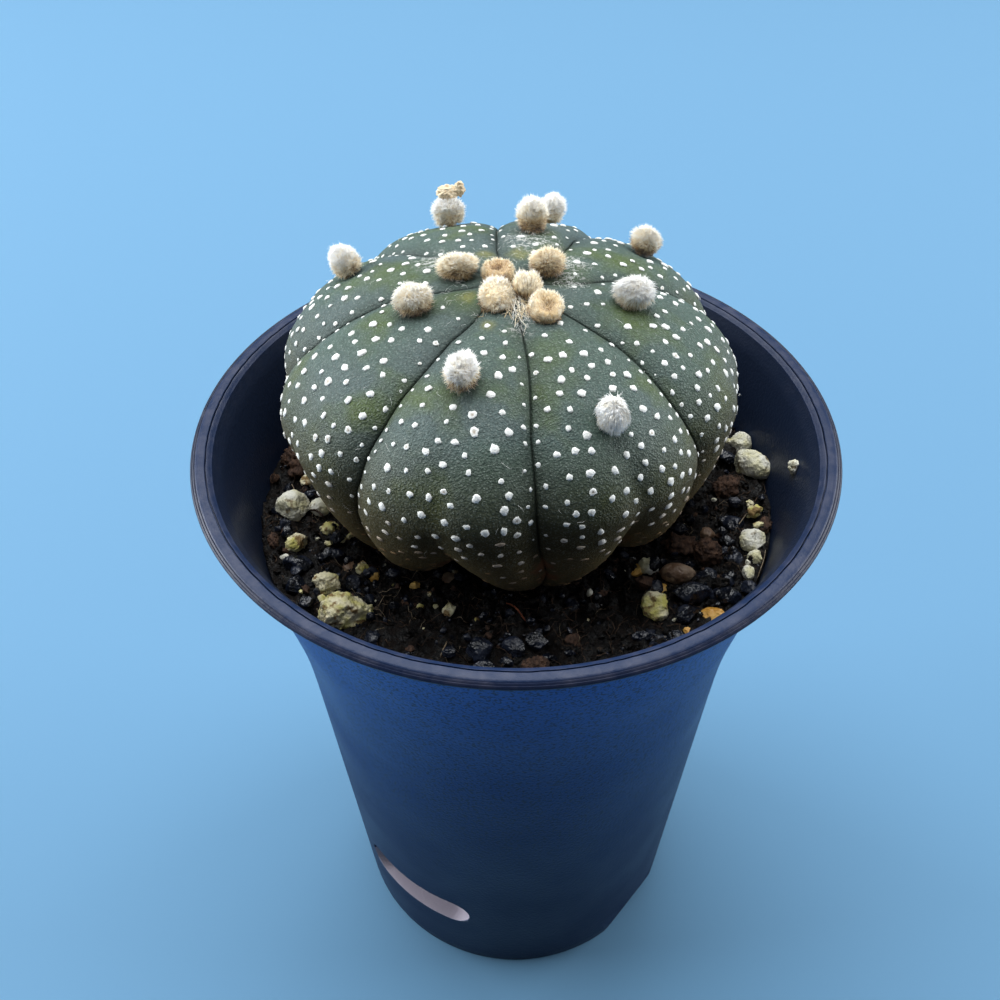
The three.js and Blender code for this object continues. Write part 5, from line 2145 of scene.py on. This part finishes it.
@dataclass
class Soil:
    """The soil: its crumbly top, its stones, and the grit and fibres strewn on it."""

    form: StarForm
    pot: Pot
    level: float = 96.7
    sag: float = 0.4
    steps: int = 380
    rings: int = 84
    hole_radius: float = 10.8
    hole_depth: float = 18.0
    # The low bank against the wall: its azimuth, height, and the radii and angles between which it rises.
    bank: tuple[float, float, float, float, float, float] = (8.0, 1.4, 31.0, 36.0, 14.0, 32.0)
    gravel_count: int = 330
    grit_count: int = 1500
    fibre_count: int = 640
    fibre_beads: int = 7
    # How near the plant's middle the loose grains and fibres come.
    nearest: float = 17.0
    # The stretch in front with less gravel: its middle and half its width by x, where it ends by y, and
    # the share of the gravel that it lacks.
    sparse: tuple[float, float, float, float] = (-1, 17, -16, 0.6)
    crumb: Triple = (39.4, -4.3, 106.6)
    # The heights down the filling's side, and the radius and height of its foot.
    side: tuple[float, ...] = (92, 80, 60, 40, 27, 24, 14, 5)
    foot: Pair = (28.0, 4.5)
    # How much narrower than the pot the filling is, at its top and below.
    slack: Pair = (0.06, 0.3)
    # How far from the plant's middle the bare soil starts and is at its roughest.
    open_reach: Pair = (19, 25)
    # The surface's humps: height and size.
    humps: Pairs = ((0.9, 4.2), (0.9, 1.8), (0.7, 0.8))
    # The turn, height and radius that the soil gives way to at each pocket.
    pocket_clear: Triple = (26, 26.5, 27.1)
    # A grain's edges that are sharper than this, in degrees, stay sharp.
    grain_angle: float = 38.0

    def top(self, points: Array) -> Array:
        """How high the soil is.

        Args:
            points: The places, by x and y.

        Returns:
            The height at each place.
        """
        flat = np.column_stack([points[:, :2], np.zeros(len(points))])
        bare = climb(reach_of(points, self.form.centre), *self.open_reach)
        relief = sum(tall * field_noise(flat, size, seed) for seed, (tall, size) in enumerate(self.humps, 1))
        crumbs = 0.6 * np.maximum(0, field_noise(flat, 1.1, 4)) ** 0.5
        azimuth, height, near, far, inner, outer = self.bank
        aside = turned_from(points, azimuth)
        banked = height * climb(reach_of(points), near, far) * (1 - climb(aside, inner, outer))
        return self.level - self.sag + banked + bare * (0.2 + relief + crumbs)

    def bed(self) -> Piece:
        """Models the filling: a spun block whose top is raised into crumbs, with a hole for the root.

        Returns:
            The filling's piece.
        """
        reach = self.pot.outer(self.level) - self.pot.wall - self.slack[0]
        outline = [(reach * step / self.rings, self.level) for step in range(self.rings + 1)]
        outline += [(self.pot.outer(height) - self.pot.wall - self.slack[1], height) for height in self.side]
        outline += [self.foot, (0, self.foot[1])]
        piece = spun("soil_bed", outline, self.steps)
        self._raise_top(piece)
        smooth(piece)
        return piece

    def _raise_top(self, piece: Piece) -> None:
        """Raises the top into its relief, sinks the root's hole and clears the pot's pockets.

        Args:
            piece: The filling.
        """
        corners = corners_of(piece)
        radius = reach_of(corners)
        on_top = corners[:, 2] > self.level - 1
        corners[on_top, 2] = self.top(corners[on_top])
        away = reach_of(corners, self.form.centre)
        corners[on_top & (away < self.hole_radius), 2] = self.level - self.hole_depth
        turn, height, limit = self.pocket_clear
        for azimuth in self.pot.pocket_azimuths:
            beside = (turned_from(corners, azimuth) < turn) & (corners[:, 2] < height) & (radius > limit)
            corners[beside, :2] *= (limit / radius[beside])[:, None]
        set_corners(piece, corners)

    def _stone(self, stone: Stone, index: int) -> Piece:
        """Models one stone: a ball drawn out to its size, flattened by a few breaks and then weathered.

        Args:
            stone: The stone's size, place and kind.
            index: Its number, which seeds its draws.

        Returns:
            The stone.
        """
        rng = np.random.default_rng(300 + index)
        deselect_all()
        bpy.ops.mesh.primitive_ico_sphere_add(subdivisions=4, radius=1)
        piece = bpy.context.object
        name = stone.name.replace("pebble", "stone").replace("pumice", "grain")
        piece.name = piece.data.name = name + "_surface"
        breaks, nearest, farthest = BREAKS[stone.kind]
        with all_in_edit(piece):
            for _ in range(breaks):
                direction = unit(rng.normal(0, 1, 3))
                middle = direction * rng.uniform(nearest, farthest)
                bpy.ops.mesh.select_all(action="SELECT")
                bpy.ops.mesh.bisect(
                    plane_co=tuple(middle), plane_no=tuple(direction), use_fill=True, clear_outer=True
                )
        height = self.level + stone.half[2] * stone.rise
        corners = corners_of(piece) * MM * np.array(stone.half) * 1.1
        set_corners(piece, corners @ about_z(stone.turn) + np.array([*stone.at, height]))
        self._weather(piece, stone, index)
        return piece

    def _weather(self, piece: Piece, stone: Stone, index: int) -> None:
        """Evens a stone's faces and gives it the relief of its kind.

        Args:
            piece: The stone's object.
            stone: Its size and kind.
            index: Its number.
        """
        size = sum(stone.half) / 3
        remesh = piece.modifiers.new("even faces", "REMESH")
        remesh.mode = "VOXEL"
        remesh.voxel_size = size * 0.075 * MM
        soften = piece.modifiers.new("soften", "SMOOTH")
        soften.iterations = {Kind.PEBBLE_BROWN: 12, Kind.PUMICE_WHITE: 6}.get(stone.kind, 2)
        for number, (grain, depth) in enumerate(RELIEFS[stone.kind]):
            texture = bpy.data.textures.new(f"weathering_{index}_{number}", "CLOUDS")
            texture.noise_scale = grain * size * MM
            texture.noise_depth = 2
            displace = piece.modifiers.new(f"relief {number}", "DISPLACE")
            displace.texture = texture
            displace.texture_coords = "LOCAL"
            displace.strength = depth * size * MM
            displace.mid_level = 0.5
        apply_modifiers(piece)
        smooth(piece)

    def _lump(self, half: Array, kind: Kind, detail: int, rng: Draws) -> Shape:
        """Models a small broken lump about its own origin.

        Args:
            half: Its half sizes.
            kind: What it is made of.
            detail: How finely its faces are divided.
            rng: The seeded stream of draws.

        Returns:
            The lump's shape.
        """
        lump = ball(detail)
        breaks, nearest, farthest = BREAKS[kind]
        for direction in unit(rng.normal(0, 1, (breaks, 3))):
            past = np.maximum(0, lump.corners @ direction - rng.uniform(nearest, farthest))
            lump.corners -= past[:, None] * direction
        grain, depth = RELIEFS[kind][0]
        lump.corners *= 1.08 + 1.2 * depth * field_noise(lump.corners, grain, rng.uniform(0, 50))[:, None]
        lump.corners *= half
        return lump

    def bits(self, finishes: Finishes) -> None:
        """Sets the small bits that can be told apart between the stones.

        Args:
            finishes: The materials.
        """
        rng = np.random.default_rng(91)
        for kind, bits in BITS.items():
            shapes = []
            for at, half, turn in bits:
                shape = self._lump(np.array(half), kind, 4, rng)
                height = self.top(np.array([at]))[0] + 0.35 * half[2]
                shape.corners = shape.corners @ about_z(turn) + np.array([*at, height])
                shapes.append(shape)
            settle(piece_from(f"{kind.value}_bits", joined(shapes)), finishes.stones[kind])

    def wall_crumb(self, finishes: Finishes) -> None:
        """Sticks the one pale crumb to the inner wall at the right.

        Args:
            finishes: The materials.
        """
        crumb = self._lump(np.array([0.7, 0.9, 1.0]), Kind.PUMICE_WHITE, 4, np.random.default_rng(13))
        crumb.corners += np.array(self.crumb)
        finish = finishes.stones[Kind.PUMICE_WHITE]
        settle(piece_from("pale_crumb_on_wall", crumb), finish)

    def _scatter(self, count: int, clear: float, rng: Draws) -> Array:
        """Draws places on the open soil, off the larger stones.

        Args:
            count: How many.
            clear: How far to keep off each stone, as a share of its size.
            rng: The seeded stream of draws.

        Returns:
            The places by x and y.
        """
        places = np.empty((0, 2))
        reach = self.pot.outer(self.level) - self.pot.wall - 0.7
        while len(places) < count:
            radius = reach * np.sqrt(rng.uniform(0.2, 1, count))
            turn = rng.uniform(0, 2 * math.pi, count)
            fresh = radius[:, None] * circling(turn)
            good = reach_of(fresh, self.form.centre) > self.nearest
            for stone in STONES:
                good &= reach_of(fresh, stone.at) > clear * max(stone.half[:2])
            places = np.vstack([places, fresh[good]])
        return places[:count]

    def _strew(
        self, sorts: tuple[tuple[str, Kind | None, float], ...], places: Array, size: Array,
        sunk: float, finishes: Finishes, rng: Draws
    ) -> None:
        """Strews grains of several sorts.

        Args:
            sorts: Each piece's name, its kind or none for peat, and its share of the grains.
            places: Where they lie, by x and y.
            size: Each grain's half size.
            sunk: How far each grain's middle lies above the soil, as a share of its size.
            finishes: The materials.
            rng: The seeded stream of draws.
        """
        count = len(places)
        sort = rng.choice(len(sorts), count, p=[share for _, _, share in sorts])
        turns = upright(unit(rng.normal(0, 1, (count, 3))), rng.uniform(0, 6.28, count))
        turns = turns * (size[:, None] * rng.uniform(0.65, 1.25, (count, 3)))[:, None]
        centres = np.column_stack([places, self.top(places) + sunk * size])
        choice = rng.integers(0, 6, count)
        for index, (name, kind, _) in enumerate(sorts):
            shapes = [self._lump(np.ones(3), kind or Kind.BARK, 2, rng) for _ in range(6)]
            sets = []
            for number, shape in enumerate(shapes):
                chosen = (sort == index) & (choice == number)
                sets.append(shape.moved(turns[chosen], centres[chosen]))
            piece = piece_from(name, joined(sets))
            make_active(piece)
            bpy.ops.object.shade_smooth_by_angle(angle=math.radians(self.grain_angle))
            finish = finishes.peat if kind is None else finishes.stones[kind]
            settle(piece, finish)

    def grit(self, finishes: Finishes) -> None:
        """Strews the gravel and then the finer grit.

        Args:
            finishes: The materials.
        """
        rng = np.random.default_rng(77)
        places = self._scatter(self.gravel_count, 1.0, rng)
        middle, half, end, lack = self.sparse
        in_front = (np.abs(places[:, 0] - middle) < half) & (places[:, 1] < end)
        places = places[~(in_front & (rng.uniform(0, 1, len(places)) < lack))]
        size = rng.uniform(0.55, 1.15, len(places))
        self._strew(GRAVEL, places, size, 0.25, finishes, rng)
        places = self._scatter(self.grit_count, 0.8, rng)
        size = np.clip(rng.lognormal(-1.15, 0.4, self.grit_count), 0.14, 0.8)
        self._strew(GRIT, places, size, 0.3, finishes, rng)

    def fibres(self, finishes: Finishes) -> None:
        """Lays the fibres and thin roots over the soil.

        Args:
            finishes: The materials.
        """
        rng = np.random.default_rng(55)
        beads = self.fibre_beads
        for name, count, radius, sort in (
            ("peat_fibres", self.fibre_count, 0.07, Strand.PEAT),
            ("pale_fibres", self.fibre_count // 5, 0.045, Strand.STRAW),
        ):
            places = self._scatter(count, 0.8, rng)
            heading = rng.uniform(0, 2 * math.pi, count)
            stride = rng.uniform(0.25, 0.8, count)
            path = np.empty((count, beads, 3))
            for bead in range(beads):
                lift = 0.05 + rng.uniform(0.1, 0.6, count) * math.sin(math.pi * bead / (beads - 1))
                path[:, bead, :2] = places
                path[:, bead, 2] = self.top(places) + lift
                heading += rng.normal(0, 0.4, count)
                places = places + circling(heading) * stride[:, None]
                limit = self.pot.outer(self.level) - self.pot.wall - 0.3
                places *= np.minimum(1, limit / reach_of(places))[:, None]
            radii = radius * rng.uniform(0.6, 1.4, (count, 1)) * np.linspace(1, 0.6, beads - 1)
            settle(piece_from(name, strands(path, radii)), finishes.fibres[sort])

    def twigs(self, finishes: Finishes) -> None:
        """Lays the few twigs and stalks that can be told apart.

        Args:
            finishes: The materials.
        """
        beads = self.fibre_beads
        share = np.linspace(0, 1, beads)
        wave = 0.12 * np.stack([np.sin(5 * share), np.cos(4 * share)], axis=1)
        height = self.level + 0.7 + 0.7 * np.sin(math.pi * share)
        for name, ends, radius, sort in TWIGS:
            first, last = np.array(ends)
            path = np.column_stack([first + (last - first) * share[:, None] + wave, height])
            radii = radius * np.linspace(1.1, 0.8, beads - 1)
            settle(piece_from(name, strands(path[None], radii[None])), finishes.fibres[sort])

    def build(self, finishes: Finishes) -> None:
        """Builds and settles the soil, the stones, the bits, the grit and the fibres.

        Args:
            finishes: The materials.
        """
        settle(self.bed(), finishes.peat, ("soil",))
        for index, stone in enumerate(STONES):
            settle(self._stone(stone, index), finishes.stones[stone.kind], (stone.name,))
        self.bits(finishes)
        self.wall_crumb(finishes)
        self.grit(finishes)
        self.fibres(finishes)
        self.twigs(finishes)


# How each kind breaks: how many flat faces, and how near and far they lie from its middle.
BREAKS = {
    Kind.PUMICE_WHITE: (6, 0.72, 0.9),
    Kind.PUMICE_YELLOW: (9, 0.66, 0.88),
    Kind.PEBBLE_BLACK: (10, 0.62, 0.86),
    Kind.PEBBLE_BROWN: (3, 0.82, 0.92),
    Kind.PEBBLE_AMBER: (9, 0.66, 0.86),
    Kind.BARK: (6, 0.66, 0.9),
}
# The relief of each kind: the grain and the depth of each layer, as shares of the stone's size.
RELIEFS = {
    Kind.PUMICE_WHITE: ((0.45, 0.2), (0.13, 0.12)),
    Kind.PUMICE_YELLOW: ((0.5, 0.3), (0.14, 0.2)),
    Kind.PEBBLE_BLACK: ((0.5, 0.14), (0.13, 0.06)),
    Kind.PEBBLE_BROWN: ((0.6, 0.16), (0.2, 0.06)),
    Kind.PEBBLE_AMBER: ((0.5, 0.2), (0.16, 0.08)),
    Kind.BARK: ((0.35, 0.5), (0.13, 0.25)),
}
# The sorts of gravel and of grit: the piece's name, its kind, or none for peat, and its share.
GRAVEL = (
    ("peat_clods", None, 0.24),
    ("black_gravel", Kind.PEBBLE_BLACK, 0.62),
    ("bark_chips", Kind.BARK, 0.08),
    ("yellow_gravel", Kind.PUMICE_YELLOW, 0.03),
    ("amber_gravel", Kind.PEBBLE_AMBER, 0.03),
)
GRIT = (
    ("peat_crumbs", None, 0.6),
    ("black_grit", Kind.PEBBLE_BLACK, 0.27),
    ("bark_bits", Kind.BARK, 0.09),
    ("white_grit", Kind.PUMICE_WHITE, 0.02),
    ("yellow_grit", Kind.PUMICE_YELLOW, 0.02),
)
# Twigs: the piece's name, its ends, its radius and what it is made of.
TWIGS = (
    ("rust_twig", ((-1.5, -21.1), (1.3, -24.4)), 0.16, Strand.RUST),
    ("brown_stem", ((-30.5, -2.7), (-27.8, -4.6)), 0.2, Strand.PEAT),
    ("pale_stick", ((-9.5, -27.6), (-10.2, -30.2)), 0.1, Strand.STRAW),
    ("straw_right", ((31.5, -8.5), (34.6, -4.2)), 0.09, Strand.STRAW),
    ("straw_far_right", ((35.6, -11.8), (33.2, -17.9)), 0.07, Strand.STRAW),
    ("root_hair_left", ((-34.0, 2.8), (-31.4, -4.6)), 0.08, Strand.STRAW),
)


# The stage


@dataclass
class Studio:
    """The pale floor, the soft light and the camera."""

    focal_pixels: float = 1040.0
    frame_pixels: float = 1000.0
    sensor: float = 36.0
    eye: Triple = (-2.225, -111.770, 207.418)
    pitch: float = 44.813
    roll: float = -0.7325
    floor_tone: Rgb = (0.092, 0.22, 0.36)
    floor_size: float = 6.0
    floor_roughness: float = 0.85
    room_tone: Rgb = (0.82, 0.9, 1.0)
    room_strength: float = 0.12
    # The soft lights: name, place and size in metres, power and tone.
    lamps: tuple[tuple[str, Triple, float, float, Rgb], ...] = (
        ("high_window", (-0.1, 0.43, 1.2), 1.2, 27.5, (0.97, 0.99, 1.0)),
        ("left_panel", (-1.15, 0.25, 0.4), 0.9, 24.0, (0.95, 0.98, 1.0)),
        ("right_panel", (1.15, 0.3, 0.42), 0.9, 18.0, (0.97, 0.99, 1.0)),
        ("front_fill", (0.1, -0.95, 0.9), 0.9, 0.6, (1.0, 0.99, 0.97)),
    )
    lamp_target: Triple = (0, 0, 0.1)

    def camera(self) -> None:
        """Sets the camera at the photograph's viewpoint."""
        data = bpy.data.cameras.new("viewpoint")
        data.sensor_width = self.sensor
        data.lens = self.focal_pixels / self.frame_pixels * self.sensor
        data.clip_start = 0.01
        camera = bpy.data.objects.new("viewpoint", data)
        bpy.context.scene.collection.objects.link(camera)
        pitch, roll = math.radians(self.pitch), math.radians(self.roll)
        forward = Vector((0, math.cos(pitch), -math.sin(pitch)))
        right = Vector((1, 0, 0))
        up = right.cross(forward)
        turned_right = right * math.cos(roll) + up * math.sin(roll)
        turned_up = up * math.cos(roll) - right * math.sin(roll)
        axes = Matrix((turned_right, turned_up, -forward)).transposed()
        camera.matrix_world = Matrix.Translation(Vector(self.eye) * MM) @ axes.to_4x4()
        bpy.context.scene.camera = camera

    def floor(self) -> None:
        """Lays the floor: one plain pale sheet."""
        deselect_all()
        bpy.ops.mesh.primitive_plane_add(size=self.floor_size, location=(0, 0, 0))
        floor = bpy.context.object
        floor.name = "studio_floor"
        material = bpy.data.materials.new("pale_floor")
        material.use_nodes = True
        shader = material.node_tree.nodes["Principled BSDF"]
        shader.inputs["Base Color"].default_value = opaque(self.floor_tone)
        shader.inputs["Roughness"].default_value = self.floor_roughness
        floor.data.materials.append(material)

    def _area(self, name: str, place: Triple, size: float, power: float, tone: Rgb) -> None:
        """Hangs one soft square light that looks at the plant.

        Args:
            name: Its name.
            place: Where it hangs, in metres.
            size: The length of its sides, in metres.
            power: Its power in watts.
            tone: Its colour.
        """
        data = bpy.data.lights.new(name, "AREA")
        data.size = size
        data.energy = power
        data.color = tone
        light = bpy.data.objects.new(name, data)
        bpy.context.scene.collection.objects.link(light)
        light.location = place
        aim = Vector(self.lamp_target) - Vector(place)
        light.rotation_euler = aim.to_track_quat("-Z", "Y").to_euler()

    def lights(self) -> None:
        """Hangs the soft lights and sets the even light all round."""
        for lamp in self.lamps:
            self._area(*lamp)
        world = bpy.data.worlds.new("soft_room")
        world.use_nodes = True
        background = world.node_tree.nodes["Background"]
        background.inputs["Color"].default_value = opaque(self.room_tone)
        background.inputs["Strength"].default_value = self.room_strength
        bpy.context.scene.world = world

    def build(self) -> None:
        """Builds the stage."""
        self.camera()
        self.floor()
        self.lights()
        bpy.context.scene.view_settings.view_transform = "Standard"


def main() -> None:
    """Loads the frame, builds each part of the looks in turn, and notes the sizes."""
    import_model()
    Studio().build()
    finishes = Finishes()
    form = StarForm()
    pot = Pot()
    pot.build(finishes)
    Soil(form, pot).build(finishes)
    Plant(form).build(finishes)
    Wool(form).build(finishes)
    DriedFlower(form).build(finishes)


if __name__ == "__main__":
    logging.basicConfig(level=logging.INFO, format="%(message)s")
    main()
